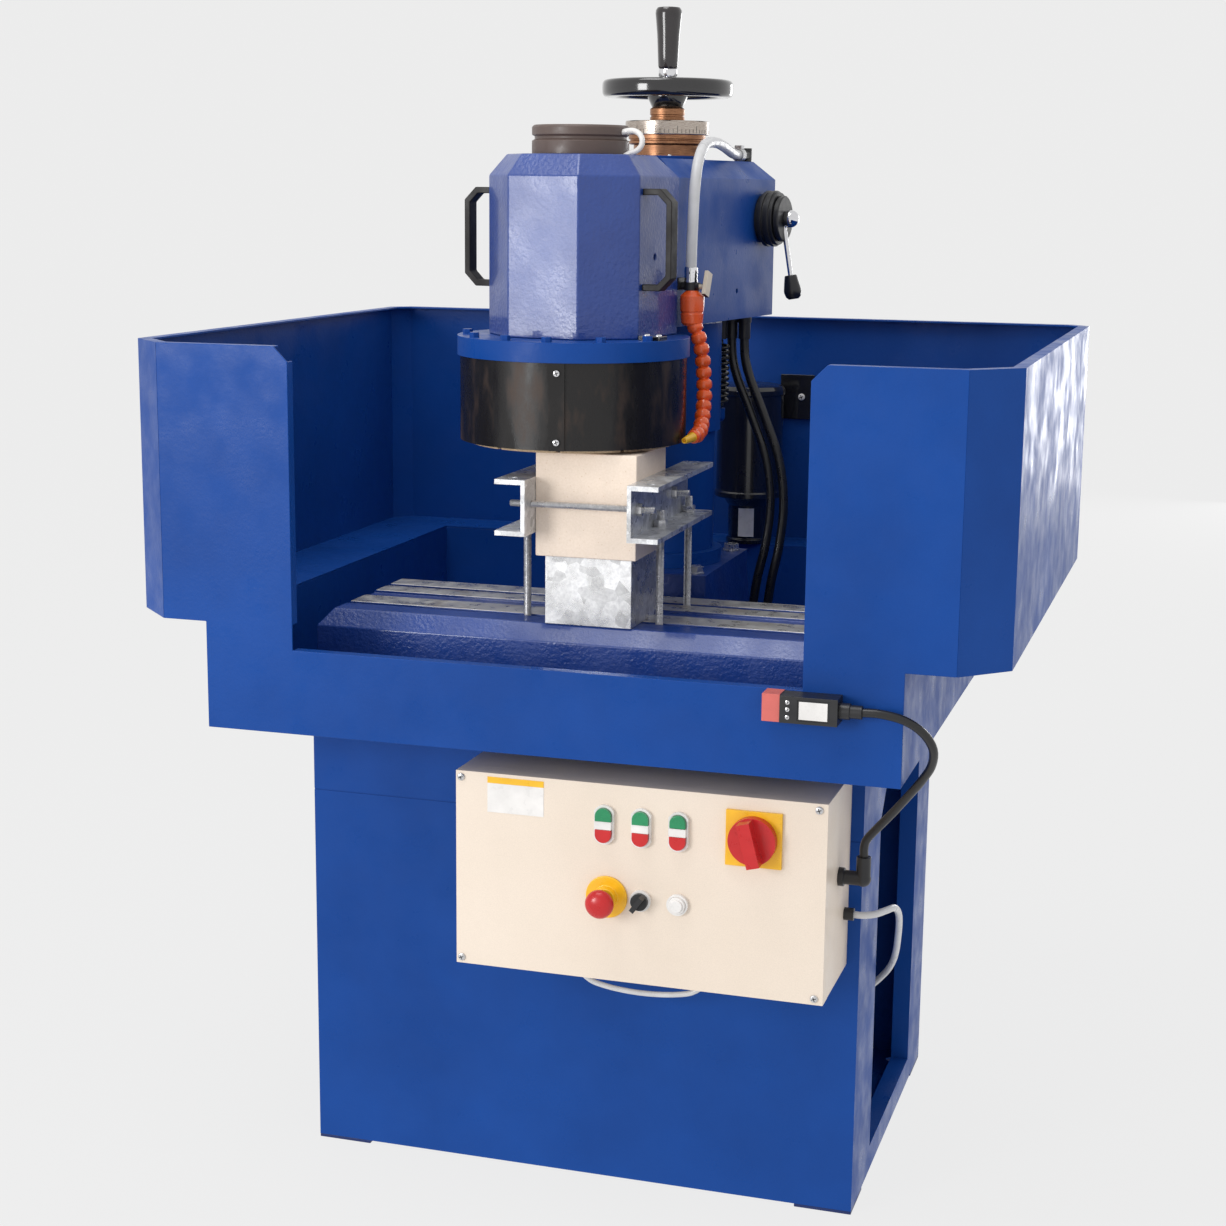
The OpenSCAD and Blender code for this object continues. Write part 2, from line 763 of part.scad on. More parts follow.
module wheel_plate() {
    color("gray") on_head() translate([0, 0, wheel_bottom + segment_h])
        difference() {
            cylinder(r = wheel_r, h = plate_top - wheel_bottom - segment_h);
            translate([0, 0, plate_top - 2 - wheel_bottom - segment_h])
                cylinder(r = spindle_r + hair, h = 5);
            translate([0, 0, -1]) cylinder(r = 60, h = 8);
        }
}

module wheel_segments() {
    color("tan") on_head() translate([0, 0, wheel_bottom]) difference() {
        ring(wheel_r, wheel_r - segment_w, segment_h);
        for (i = [0 : segment_count / 2 - 1])
            rotate([0, 0, i * 360 / segment_count])
                block([-wheel_r - 1, -3, -1], [wheel_r + 1, 3, segment_h + 1]);
    }
}

// ---- handwheel ----
dial_z = arm_top + 23 + part_gap;
dial_h = 36;
collar_top = dial_z + dial_h + 20;
rim_z = 1607;
rim_h = 27;
crank_angle = 15.7;

module handwheel() {
    color("black") placed() translate([0, column_y, 0]) difference() {
        union() {
            translate([0, 0, dial_z]) cylinder(r = 65, h = dial_h);
            translate([0, 0, dial_z + dial_h - hair]) cylinder(r = 27, h = 20);
            translate([0, 0, collar_top - hair]) cylinder(r1 = 24, r2 = 31, h = 18);
            translate([0, 0, rim_z - 4]) cylinder(r = 26, h = rim_h);
            translate([0, 0, rim_z]) rotate_extrude() polygon([
                [handwheel_r - 26, 6], [handwheel_r - 20, 0], [handwheel_r - 6, 0],
                [handwheel_r, 6], [handwheel_r, rim_h - 6], [handwheel_r - 6, rim_h],
                [handwheel_r - 20, rim_h], [handwheel_r - 26, rim_h - 6]]);
            for (i = [0 : 2]) rotate([0, 0, crank_angle + 120 * i])
                block([-9, -handwheel_r + 20, rim_z + 4], [9, -20, rim_z + 16]);
        }
        translate([0, 0, dial_z - 1]) cylinder(r = screw_r + 3 + 0.02, h = 95);
        rotate([0, 0, crank_angle]) translate([0, -crank_r, rim_z - 1])
            cylinder(r = 5 + fit_gap, h = rim_h + 2);
    }
}

screw_bottom = 1240;
module lead_screw() {
    color("silver") placed() translate([0, column_y, 0]) {
        translate([0, 0, screw_bottom]) cylinder(r = screw_r, h = arm_top - 5 - screw_bottom);
        translate([0, 0, arm_top - 5 - hair])
            cylinder(r = screw_r + 3, h = rim_z + rim_h - arm_top);
    }
}

module crank_handle() {
    color("black") placed() translate([0, column_y, 0]) rotate([0, 0, crank_angle])
        translate([0, -crank_r, 0]) {
            translate([0, 0, rim_z]) cylinder(r = 5, h = rim_h + 10);
            translate([0, 0, rim_z + rim_h + part_gap]) rotate_extrude() polygon([
                [0, 0], [13, 0], [14, 2], [14, 12], [15.5, 14], [17, 60],
                [20, crank_top - rim_z - rim_h - part_gap - 7],
                [18, crank_top - rim_z - rim_h - part_gap], [0, crank_top - rim_z - rim_h - part_gap]]);
        }
}

// ---- control box ----
box_x = [-box_left, box_w - box_left];
box_z = [box_bottom, box_bottom + box_h];
cover_depth = 30;
cover_back = -box_d + cover_depth;
box_wall = 2.5;
panel_y = -box_d;
switch_x = [93, 146, 199];
switch_z = 610;
lower_z = 506;
estop_x = 97;
main_at = [304, 610];
push_z = 15;
push_stem_r = 7;
screw_inset = [8, 9];
louver_z = [542, 655];
louver_count = 7;

module control_box_body() {
    color(cream) placed() {
        difference() {
            block([box_x[0], cover_back, box_z[0]], [box_x[1], 0, box_z[1]]);
            block([box_x[0] + box_wall, cover_back - 1, box_z[0] + box_wall],
                [box_x[1] - box_wall, -box_wall, box_z[1] - box_wall]);
            rod_x(box_x[1] - 5, elbow_at[0], elbow_at[1], 9, 10);
        }
        for (i = [0 : louver_count - 1])
            let (z = louver_z[0] + i * (louver_z[1] - louver_z[0]) / louver_count)
            along_y(cover_back + 8, 100) polygon([
                [box_x[0] + hair, z], [box_x[0] - 7, z], [box_x[0] - 7, z + 3],
                [box_x[0] + hair, z + 11]]);
    }
}

module control_box_cover() {
    color(cream) placed() difference() {
        block([box_x[0], panel_y, box_z[0]], [box_x[1], cover_back, box_z[1]]);
        block([box_x[0] + box_wall, panel_y + box_wall, box_z[0] + box_wall],
            [box_x[1] - box_wall, cover_back + 1, box_z[1] - box_wall]);
        for (x = switch_x, dz = [-push_z, push_z])
            rod_y(x, panel_y - 1, switch_z + dz, push_stem_r + 0.5, 10);
        rod_y(estop_x, panel_y - 1, lower_z, 11, 10);
        rod_y(switch_x[1], panel_y - 1, lower_z, 8, 10);
        rod_y(main_at[0], panel_y - 1, main_at[1], 8, 10);
        for (x = cover_screw_x, z = cover_screw_z) rod_y(x, panel_y - 1, z, 2.6, 10);
    }
}

cover_screw_x = [box_x[0] + screw_inset[0], box_x[1] - screw_inset[0] - 4];
cover_screw_z = [box_z[0] + screw_inset[1], box_z[1] - screw_inset[1]];
module cover_screws() {
    color("dimgray") placed()
        for (x = cover_screw_x, z = cover_screw_z) {
            rod_y(x, panel_y - 3, z, 5.5, 3);
            rod_y(x, panel_y - hair, z, 2.5, 20);
        }
}

bezel_w = 28;
bezel_h = 56;
bezel_t = 6;
push_half = 11.5;
push_bar = 6;

// The D-shaped cap of one push button, above or below the bar between the two.
module push_outline(side, margin) {
    mirror([0, side < 0 ? 1 : 0]) intersection() {
        union() {
            translate([0, push_z - 2]) circle(r = push_half + margin);
            translate([-push_half - margin, 0]) square([2 * (push_half + margin), push_z - 2]);
        }
        translate([-bezel_w / 2, push_bar - margin]) square([bezel_w, bezel_h / 2]);
    }
}

module button_bezels() {
    color("white") placed() {
        for (x = switch_x) difference() {
            union() {
                along_y(panel_y - bezel_t, bezel_t) translate([x, switch_z]) bezel_outline();
                block([x - push_half, panel_y - push_out + 1, switch_z - push_bar + part_gap],
                    [x + push_half, panel_y - 1, switch_z + push_bar - part_gap]);
            }
            for (side = [-1, 1])
                along_y(panel_y - bezel_t - 1, 10) translate([x, switch_z]) push_outline(side, part_gap);
        }
        difference() {
            rod_y(switch_x[1], panel_y - bezel_t, lower_z, 15, bezel_t);
            rod_y(switch_x[1], panel_y - bezel_t - 1, lower_z, selector_r + fit_gap, 10);
        }
        translate([switch_x[2], panel_y - bezel_t, lower_z]) rotate([-90, 0, 0])
            ring(15, 12, bezel_t);
    }
}

module bezel_outline() {
    translate([-bezel_w / 2, -bezel_h / 2 + 8]) square([bezel_w, bezel_h - 16]);
    for (side = [-1, 1]) intersection() {
        translate([0, side * (bezel_h / 2 - bezel_w / 2 - 1)]) circle(r = bezel_w / 2 + 1);
        translate([-bezel_w / 2, -bezel_h / 2]) square([bezel_w, bezel_h]);
    }
}

module pilot_lamp() {
    color("snow") placed() {
        rod_y(switch_x[2], panel_y - 10, lower_z, 11.9, 10);
        rod_y(switch_x[2], panel_y - 13, lower_z, 9, 4);
    }
}

push_travel = 4;
push_out = 11;
module push_button(x, side) {
    placed() {
        along_y(panel_y - push_out, push_out - push_travel - 1)
            translate([x, switch_z]) push_outline(side, 0);
        rod_y(x, panel_y - push_out, switch_z + side * push_z, push_stem_r, push_out + 12);
    }
}
module start_button_1() { color("green") push_button(switch_x[0], 1); }
module start_button_2() { color("green") push_button(switch_x[1], 1); }
module start_button_3() { color("green") push_button(switch_x[2], 1); }
module stop_button_1() { color("red") push_button(switch_x[0], -1); }
module stop_button_2() { color("red") push_button(switch_x[1], -1); }
module stop_button_3() { color("red") push_button(switch_x[2], -1); }

estop_bore = 10;
module estop_collar() {
    color("gold") placed() translate([estop_x, panel_y, lower_z]) rotate([90, 0, 0]) {
        ring(30, estop_bore + fit_gap, 4);
        translate([0, 0, 4 - hair]) ring(16, estop_bore + fit_gap, 12);
    }
}

estop_neck = 22;
module estop_stem() {
    color("dimgray") placed() {
        difference() {
            rod_y(estop_x, panel_y - 34, lower_z, estop_bore, 60);
            rod_y(estop_x, panel_y - 35, lower_z, 5 + fit_gap, 16);
        }
    }
}

// The mushroom head turns on the stem to release it, and is pressed in together with it.
module estop_button() {
    color("red") placed() translate([estop_x, panel_y, lower_z]) rotate([90, 0, 0]) difference() {
        union() {
            rotate_extrude() polygon([
                [0, 34 + part_gap], [11, 34 + part_gap], [11, estop_neck + 2], [15, estop_neck + 1],
                [estop_d / 2, 33], [estop_d / 2, 38], [estop_d / 2 - 3, 43],
                [estop_d / 2 - 9, 46.5], [0, 48]]);
            translate([0, 0, 20]) cylinder(r = 5, h = 16);
        }
        translate([0, 0, 34 - 14]) ring(estop_bore + part_gap, 5 + hair, 14 + part_gap);
    }
}

selector_r = 9;
module selector_knob() {
    color("black") placed() {
        rod_y(switch_x[1], panel_y - 10, lower_z, selector_r, 10 - bezel_t + 5);
        rod_y(switch_x[1], panel_y - 10, lower_z, 7.5, 22);
        rod_y(switch_x[1], panel_y - 12, lower_z, 12, 6 - part_gap);
        translate([switch_x[1], 0, lower_z]) rotate([0, 35, 0])
            block([-3.5, panel_y - 26, -12], [3.5, panel_y - 12 + hair, 12]);
    }
}

main_plate = 78;
main_r = 33;
main_shaft_r = 7;
module main_switch_plate() {
    color("gold") placed() difference() {
        block([main_at[0] - main_plate / 2, panel_y - 5, main_at[1] - main_plate / 2],
            [main_at[0] + main_plate / 2, panel_y, main_at[1] + main_plate / 2]);
        rod_y(main_at[0], panel_y - 6, main_at[1], main_shaft_r + fit_gap, 8);
    }
}

module main_switch_handle() {
    color("crimson") placed() {
        rod_y(main_at[0], panel_y - 24, main_at[1], main_shaft_r, 40);
        rod_y(main_at[0], panel_y - 18, main_at[1], main_r, 13 - part_gap);
        translate([main_at[0], 0, main_at[1]]) rotate([0, -15, 0])
            block([-9, panel_y - 40, -main_r + 2], [9, panel_y - 18 + hair, main_r - 2]);
    }
}

// ---- guard interlock, glands and cables ----
key_x = [320, 344];
lock_x = [344, 421];
lock_z = [786, 822];
lock_y = front_y - 34;
lock_mid = [front_y - 17, 804];
elbow_at = [-80, 540];
elbow_out = 34;

module guard_switch() {
    color("black") placed() {
        block([key_x[0], lock_y + 2, lock_z[0]], [key_x[1] + hair, front_y, lock_z[1] + 1]);
        difference() {
            block([lock_x[0], lock_y, lock_z[0]], [lock_x[1], front_y, lock_z[1]]);
            block([lock_x[0] + 24, lock_y - 1, lock_z[0] + 4], [lock_x[1] - 10, lock_y + 1, lock_z[1] - 4]);
        }
    }
}

// Route of the interlock's cable, from its gland round to the elbow on the box.
lock_route = [[lock_x[1] + 30, lock_mid[0], lock_mid[1]], [475, -200, 804], [505, -196, 797],
    [528, -186, 780], [540, -172, 756], [536, -152, 728], [520, -132, 700], [500, -112, 672],
    [478, -97, 643], [456, -86, 616], [442, -81, 598], [box_x[1] + elbow_out, elbow_at[0], 586],
    [box_x[1] + elbow_out, elbow_at[0], 572]];
module switch_cable() {
    color("black") placed() swept_tube(curve(lock_route, 3), 6, 10, [0, 1, 0], [[1, 0, 0], -up]);
}

// Route of the grey cable from the box's rear down into the side window.
side_route = [[box_x[1] + 14, -30, 470], [430, -30, 470], [446, -23, 471], [459, -4, 472],
    [466, 28, 466], [466, 68, 440], [459, 110, 395], [449, 150, 350], [436, 180, 318],
    [420, 198, 294], [398, 200, 270], [372, 176, 244], [350, 125, 219], [335, 75, 203],
    [332, 44, 200], [332, 25, 200]];
// Route of the short loop that hangs below the box.
loop_route = [[20, -60, 378], [21, -60, 371], [25, -60, 365], [32, -60, 360], [42, -60, 357],
    [75, -60, 354], [117, -60, 353], [159, -60, 354], [192, -60, 357], [202, -60, 360],
    [209, -60, 365], [213, -60, 371], [214, -60, 378]];
module side_cable() {
    color("gray") placed() {
        swept_tube(curve(side_route, 3), 5, 10, [0.2, 0.5, 1], [[1, 0, 0], [0, -1, 0]]);
        swept_tube(curve(loop_route, 3), 4, 10, [0, 1, 0], [-up, up]);
    }
}

module cable_glands() {
    color("black") placed() {
        rod_x(lock_x[1], lock_mid[0], lock_mid[1], 11, 14);
        rod_x(lock_x[1] + 14 - hair, lock_mid[0], lock_mid[1], 9, 16);
        rod_x(box_x[1], elbow_at[0], elbow_at[1], 13, 8);
        rod_x(box_x[1] + 8 - hair, elbow_at[0], elbow_at[1], 10, elbow_out - 8);
        translate([box_x[1] + elbow_out, elbow_at[0], elbow_at[1]]) sphere(r = 11);
        translate([box_x[1] + elbow_out, elbow_at[0], elbow_at[1]]) cylinder(r = 10, h = 32);
        rod_x(box_x[1], -30, 470, 9, 14);
        for (at = conduit_foot) translate([at[0], at[1], table_base]) cylinder(r = 11, h = 22);
        rod_y(-220, cabinet_d, 120, 14, 20);
        rod_y(332, sheet, 200, 9, 22);
        for (x = [loop_route[0][0], loop_route[12][0]])
            translate([x, -60, box_z[0] - 6]) cylinder(r = 7, h = 6);
    }
}

// ---- conduits to the arm, coil between the sleeve and the arm ----
conduit_r = 7.5;
conduit_ref = [0, 1, 0];
conduit_foot = [[134, 500], [158, 500]];
conduit_routes = [
    [[82.6, 538.6, 1370], [82.6, 538.6, 1236], [90, 535, 1180], [120, 528, 1110], [148, 520, 1040],
        [160, 512, 970], [155, 506, 900], [143, 502, 840], [136, 500, 780], [134, 500, 726]],
    [[104.4, 535.6, 1370], [104.4, 535.6, 1236], [112, 532, 1180], [142, 526, 1110], [170, 520, 1040],
        [182, 512, 970], [178, 506, 900], [167, 502, 840], [160, 500, 780], [158, 500, 726]]];
module power_conduits() {
    color("black") placed()
        for (route = conduit_routes)
            swept_tube(curve(route, 3), conduit_r, 10, conduit_ref, [-up, -up]);
}

coil_r = 14;
coil_z = [1118, arm_bottom - gland_drop];
module coiled_hose() {
    color("black") on_arm() {
        translate([coil_at[0], coil_at[1], coil_z[0]]) rotate_extrude() polygon([
            [0, 0], [coil_r, 0], [coil_r, coil_z[1] - coil_z[0]], [0, coil_z[1] - coil_z[0]]]);
    }
}

// ---- coolant pump and tank ----
pump_at = [62, 768];
pump_r = 60;
pump_z = [940, 1137];
module coolant_pump() {
    color("black") placed() {
        translate([pump_at[0], pump_at[1], pump_z[0]]) cylinder(r = pump_r, h = pump_z[1] - pump_z[0]);
        translate([pump_at[0], pump_at[1], tray_top + sheet])
            cylinder(r = 38, h = pump_z[0] - tray_top - sheet + hair);
        block([pump_at[0] - 20, guard_back - sheet - 10, 1040],
            [pump_at[0] + 20, guard_back - sheet, 1130]);
        block([pump_at[0] - 10, pump_at[1] + 50, 1070], [pump_at[0] + 10, guard_back - sheet - 9, 1110]);
        block([pump_at[0] + 40, guard_back - sheet - 6, 1072],
            [pump_at[0] + 100, guard_back - sheet, 1150]);
        block([pump_at[0] + 19, guard_back - sheet - 6, 1090],
            [pump_at[0] + 41, guard_back - sheet, 1125]);
    }
}

tank_x = [-340, 160];
tank_y = [180, 560];
tank_top = 300;
module coolant_tank() {
    color("slategray") placed() difference() {
        block([tank_x[0], tank_y[0], pad_t + sheet], [tank_x[1], tank_y[1], tank_top]);
        block([tank_x[0] + sheet, tank_y[0] + sheet, pad_t + 2 * sheet],
            [tank_x[1] - sheet, tank_y[1] - sheet, tank_top + 1]);
    }
}

// ---- work holding ----
cube_y = [-18, -18 + cube_side];
riser_top = table_top + riser_h;
riser_half = 65;
channel_y = [-65, 235];
channel_z = [985, 1065];
channel_leg = 45;
channel_web = 6;
channel_flange = 7;
stud_x = [-98, 104];
stud_r = 6;
stud_top = 1016;
rod_pos = [-34, 150];
rod_r = 5;
rod_z = 1028;

module riser_block() {
    color("silver") placed() block([work_x - riser_half, -4, table_top],
        [work_x + riser_half, 126, riser_top]);
}

module specimen_cube() {
    color("bisque") placed() block([work_x - cube_side / 2, cube_y[0], riser_top],
        [work_x + cube_side / 2, cube_y[1], riser_top + cube_side]);
}

module jaw_channels() {
    color("gainsboro") placed()
        for (side = [-1, 1]) translate([work_x, 0, 0]) scale_x(side) difference() {
            union() {
                block([cube_side / 2, channel_y[0], channel_z[0]],
                    [cube_side / 2 + channel_web, channel_y[1], channel_z[1]]);
                for (z = [channel_z[0], channel_z[1] - channel_flange])
                    block([cube_side / 2, channel_y[0], z],
                        [cube_side / 2 + channel_leg, channel_y[1], z + channel_flange]);
            }
            for (y = slot_y)
                translate([side * (stud_x[side < 0 ? 0 : 1] - work_x), y, channel_z[0] - 1])
                    cylinder(r = stud_r + 0.5, h = channel_flange + 2);
            for (y = [-40, 206])
                translate([cube_side / 2 + 27, y, channel_z[1] - channel_flange - 1])
                    cylinder(r = stud_r + 1, h = channel_flange + 2);
            for (y = rod_pos) rod_x(cube_side / 2 - 1, y, rod_z, rod_r + 0.3, channel_web + 2);
        }
}

// Studs, cross rods, nuts and the slot nuts under the studs, each a separate solid.
module clamp_hardware() {
    color("silver") placed() {
        for (x = stud_x, y = slot_y) translate([x, y, 0]) {
            translate([0, 0, table_top - slot_depth + 2])
                cylinder(r = stud_r, h = stud_top - table_top + slot_depth - 2);
            translate([-9, -11, table_top - slot_depth + 1])
                difference() {
                    cube([18, 22, 8]);
                    translate([9, 11, -1]) cylinder(r = stud_r - hair, h = 12);
                }
            for (z = [channel_z[0] - 10 - 0.1, channel_z[0] + channel_flange + 0.1])
                translate([0, 0, z]) rotate([0, 0, 30]) difference() {
                    hex_prism(18, 10);
                    translate([0, 0, -1]) cylinder(r = stud_r - hair, h = 12);
                }
        }
        for (y = rod_pos) {
            rod_x(work_x - cube_side / 2 - 32, y, rod_z, rod_r, cube_side + 64);
            for (x = [work_x - cube_side / 2 - channel_web - 8.1, work_x + cube_side / 2 + channel_web + 0.1])
                translate([x, y, rod_z]) rotate([0, 90, 0]) difference() {
                    hex_prism(16, 8);
                    translate([0, 0, -1]) cylinder(r = rod_r - hair, h = 10);
                }
        }
    }
}

base_cabinet();
foot_pads();
coolant_tray();
front_sheet();
splash_guard();
table_bed();
column_foot();
foot_bolts();
column();
control_box_body();
control_box_cover();
cover_screws();
button_bezels();
pilot_lamp();
estop_collar();
main_switch_plate();
guard_switch();
switch_cable();
side_cable();
cable_glands();
coolant_pump();
coolant_tank();
jaw_channels();
clamp_hardware();
riser_block();
specimen_cube();
power_conduits();
coiled_hose();
start_button_1();
start_button_2();
start_button_3();
stop_button_1();
stop_button_2();
stop_button_3();
estop_stem();
estop_button();
selector_knob();
main_switch_handle();
swing_sleeve();
arm_casing();
head_casing();
head_flange();
splash_skirt();
motor_cap();
grab_handles();
spindle_motor();
coolant_hose();
valve_body();
segmented_hose();
arm_fittings();
screw_housing();
clamp_hub();
spindle_shaft();
wheel_plate();
wheel_segments();
handwheel();
lead_screw();
crank_handle();
clamp_lever();
valve_lever();
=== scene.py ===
"""Looks of a swing-arm surface grinder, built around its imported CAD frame.

Places are in millimetres in three frames, as in the CAD source: the machine (y = 0 at the cabinet's
front), the swing arm (origin on the column, +Y to the arm's rear) and the head (origin on the spindle).
"""
import json
import math

import bmesh
import bpy
from mathutils import Matrix, Vector
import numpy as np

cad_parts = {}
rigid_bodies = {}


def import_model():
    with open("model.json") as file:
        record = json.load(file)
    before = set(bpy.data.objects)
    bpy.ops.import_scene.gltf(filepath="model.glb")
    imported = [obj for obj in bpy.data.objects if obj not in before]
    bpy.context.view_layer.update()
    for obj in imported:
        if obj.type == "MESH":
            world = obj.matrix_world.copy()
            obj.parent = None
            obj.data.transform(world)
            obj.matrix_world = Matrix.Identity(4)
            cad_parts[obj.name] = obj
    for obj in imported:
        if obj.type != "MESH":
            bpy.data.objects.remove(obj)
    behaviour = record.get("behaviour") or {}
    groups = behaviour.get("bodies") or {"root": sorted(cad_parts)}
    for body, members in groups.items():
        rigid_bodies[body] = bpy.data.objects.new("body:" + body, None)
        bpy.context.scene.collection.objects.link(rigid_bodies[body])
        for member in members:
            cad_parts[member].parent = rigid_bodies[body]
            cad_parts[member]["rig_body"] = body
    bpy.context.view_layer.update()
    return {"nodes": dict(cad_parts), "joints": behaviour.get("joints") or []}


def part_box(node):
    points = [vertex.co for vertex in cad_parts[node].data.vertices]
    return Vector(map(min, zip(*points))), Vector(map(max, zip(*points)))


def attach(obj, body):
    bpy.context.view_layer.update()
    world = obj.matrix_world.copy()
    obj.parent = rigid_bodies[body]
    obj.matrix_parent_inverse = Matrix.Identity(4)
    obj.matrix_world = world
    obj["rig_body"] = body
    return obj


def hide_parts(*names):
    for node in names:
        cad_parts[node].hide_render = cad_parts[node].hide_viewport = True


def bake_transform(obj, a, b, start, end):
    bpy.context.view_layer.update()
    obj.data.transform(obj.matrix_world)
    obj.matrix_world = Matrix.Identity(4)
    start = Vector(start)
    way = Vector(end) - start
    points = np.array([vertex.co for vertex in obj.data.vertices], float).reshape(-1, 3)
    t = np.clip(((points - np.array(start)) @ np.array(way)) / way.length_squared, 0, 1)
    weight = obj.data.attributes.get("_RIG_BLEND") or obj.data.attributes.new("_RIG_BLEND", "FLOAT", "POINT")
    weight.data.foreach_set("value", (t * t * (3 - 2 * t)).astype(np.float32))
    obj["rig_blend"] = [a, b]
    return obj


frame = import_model()
MM = 0.001
NODES = frame["nodes"]
JOINTS = {joint["name"]: joint for joint in frame["joints"]}
COLLECTION = bpy.context.scene.collection

# ---- places taken from the frame ----
FRONT_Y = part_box("base_cabinet")[0].y
COLUMN = Vector(JOINTS["head_swing"]["pos_m"])
SPINDLE = Vector(JOINTS["spindle_spin"]["pos_m"])
ARM_X = Vector(JOINTS["clamp_lever_turn"]["axis"])
SWING = Matrix.Rotation(math.atan2(ARM_X.y, ARM_X.x), 4, "Z")
ON_MACHINE = Matrix.Translation((0, FRONT_Y, 0))
ON_COLUMN = Matrix.Translation((COLUMN.x, COLUMN.y, 0))
ON_ARM = ON_COLUMN @ SWING
ON_HEAD = Matrix.Translation((SPINDLE.x, SPINDLE.y, 0)) @ SWING


def at(place, point):
    """A point given in millimetres in one of the places above, in the row frame in metres."""
    return place @ (Vector(point) * MM)


# ---- camera, backdrop and light ----
CAMERA_AT = (930.9, -2881.9, 1468.1)
CAMERA_YAW = math.radians(17.0)
CAMERA_PITCH = math.radians(11.2)
CAMERA_ROLL = math.radians(0.6)
CAMERA_LENS = 63.0


def make_camera():
    ahead = Vector((-math.sin(CAMERA_YAW) * math.cos(CAMERA_PITCH),
                    math.cos(CAMERA_YAW) * math.cos(CAMERA_PITCH), -math.sin(CAMERA_PITCH)))
    level = Vector((math.cos(CAMERA_YAW), math.sin(CAMERA_YAW), 0))
    above = level.cross(ahead)
    right = level * math.cos(CAMERA_ROLL) + above * math.sin(CAMERA_ROLL)
    up = above * math.cos(CAMERA_ROLL) - level * math.sin(CAMERA_ROLL)
    data = bpy.data.cameras.new("camera")
    data.lens = CAMERA_LENS
    data.sensor_width = 36.0
    camera = bpy.data.objects.new("camera", data)
    turn = Matrix((right, up, -ahead)).transposed().to_4x4()
    camera.matrix_world = Matrix.Translation(at(ON_MACHINE, CAMERA_AT)) @ turn
    COLLECTION.objects.link(camera)
    bpy.context.scene.camera = camera


def soft_light(name, place, target, size, power):
    data = bpy.data.lights.new(name, "AREA")
    data.shape = "RECTANGLE"
    data.size, data.size_y = size
    data.energy = power
    light = bpy.data.objects.new(name, data)
    place = Vector(place)
    light.location = place
    light.rotation_euler = (Vector(target) - place).to_track_quat("-Z", "Y").to_euler()
    light.visible_camera = False
    COLLECTION.objects.link(light)


def make_stage():
    """A wide pale floor that curves up into a far wall, a pale sky and three soft lights."""
    reach, far, sweep, height = 30.0, 14.0, 6.0, 16.0
    profile = [(-reach, 0.0), (far, 0.0)]
    steps = 16
    for step in range(1, steps + 1):
        turn = math.pi / 2 * step / steps
        profile.append((far + sweep * math.sin(turn), sweep * (1 - math.cos(turn))))
    profile.append((far + sweep, height))
    points = [(x, y, z) for y, z in profile for x in (-reach, reach)]
    faces = [(2 * i, 2 * i + 1, 2 * i + 3, 2 * i + 2) for i in range(len(profile) - 1)]
    mesh = bpy.data.meshes.new("backdrop")
    mesh.from_pydata(points, [], faces)
    mesh.shade_smooth()
    backdrop = bpy.data.objects.new("backdrop", mesh)
    COLLECTION.objects.link(backdrop)
    paper = bpy.data.materials.new("backdrop_paper")
    paper.use_nodes = True
    shader = paper.node_tree.nodes["Principled BSDF"]
    shader.inputs["Base Color"].default_value = (0.05, 0.05, 0.05, 1)
    shader.inputs["Emission Color"].default_value = (1.0, 1.0, 1.0, 1)
    shader.inputs["Emission Strength"].default_value = 0.80
    shader.inputs["Roughness"].default_value = 1.0
    shader.inputs["Specular IOR Level"].default_value = 0.0
    mesh.materials.append(paper)
    world = bpy.data.worlds.new("studio")
    bpy.context.scene.world = world
    world.use_nodes = True
    sky = world.node_tree.nodes["Background"]
    sky.inputs["Color"].default_value = (1.0, 1.0, 1.0, 1)
    sky.inputs["Strength"].default_value = 0.80
    middle = (0, 0, 1.1)
    soft_light("key", (-2.3, -4.1, 1.6), middle, (1.4, 1.7), 85)
    soft_light("rim", (1.5, 7.4, 1.25), middle, (1.6, 2.4), 60)
    soft_light("top", (-0.6, -1.1, 4.4), middle, (1.8, 1.8), 46)
    bpy.context.scene.view_settings.view_transform = "Standard"


make_camera()
make_stage()


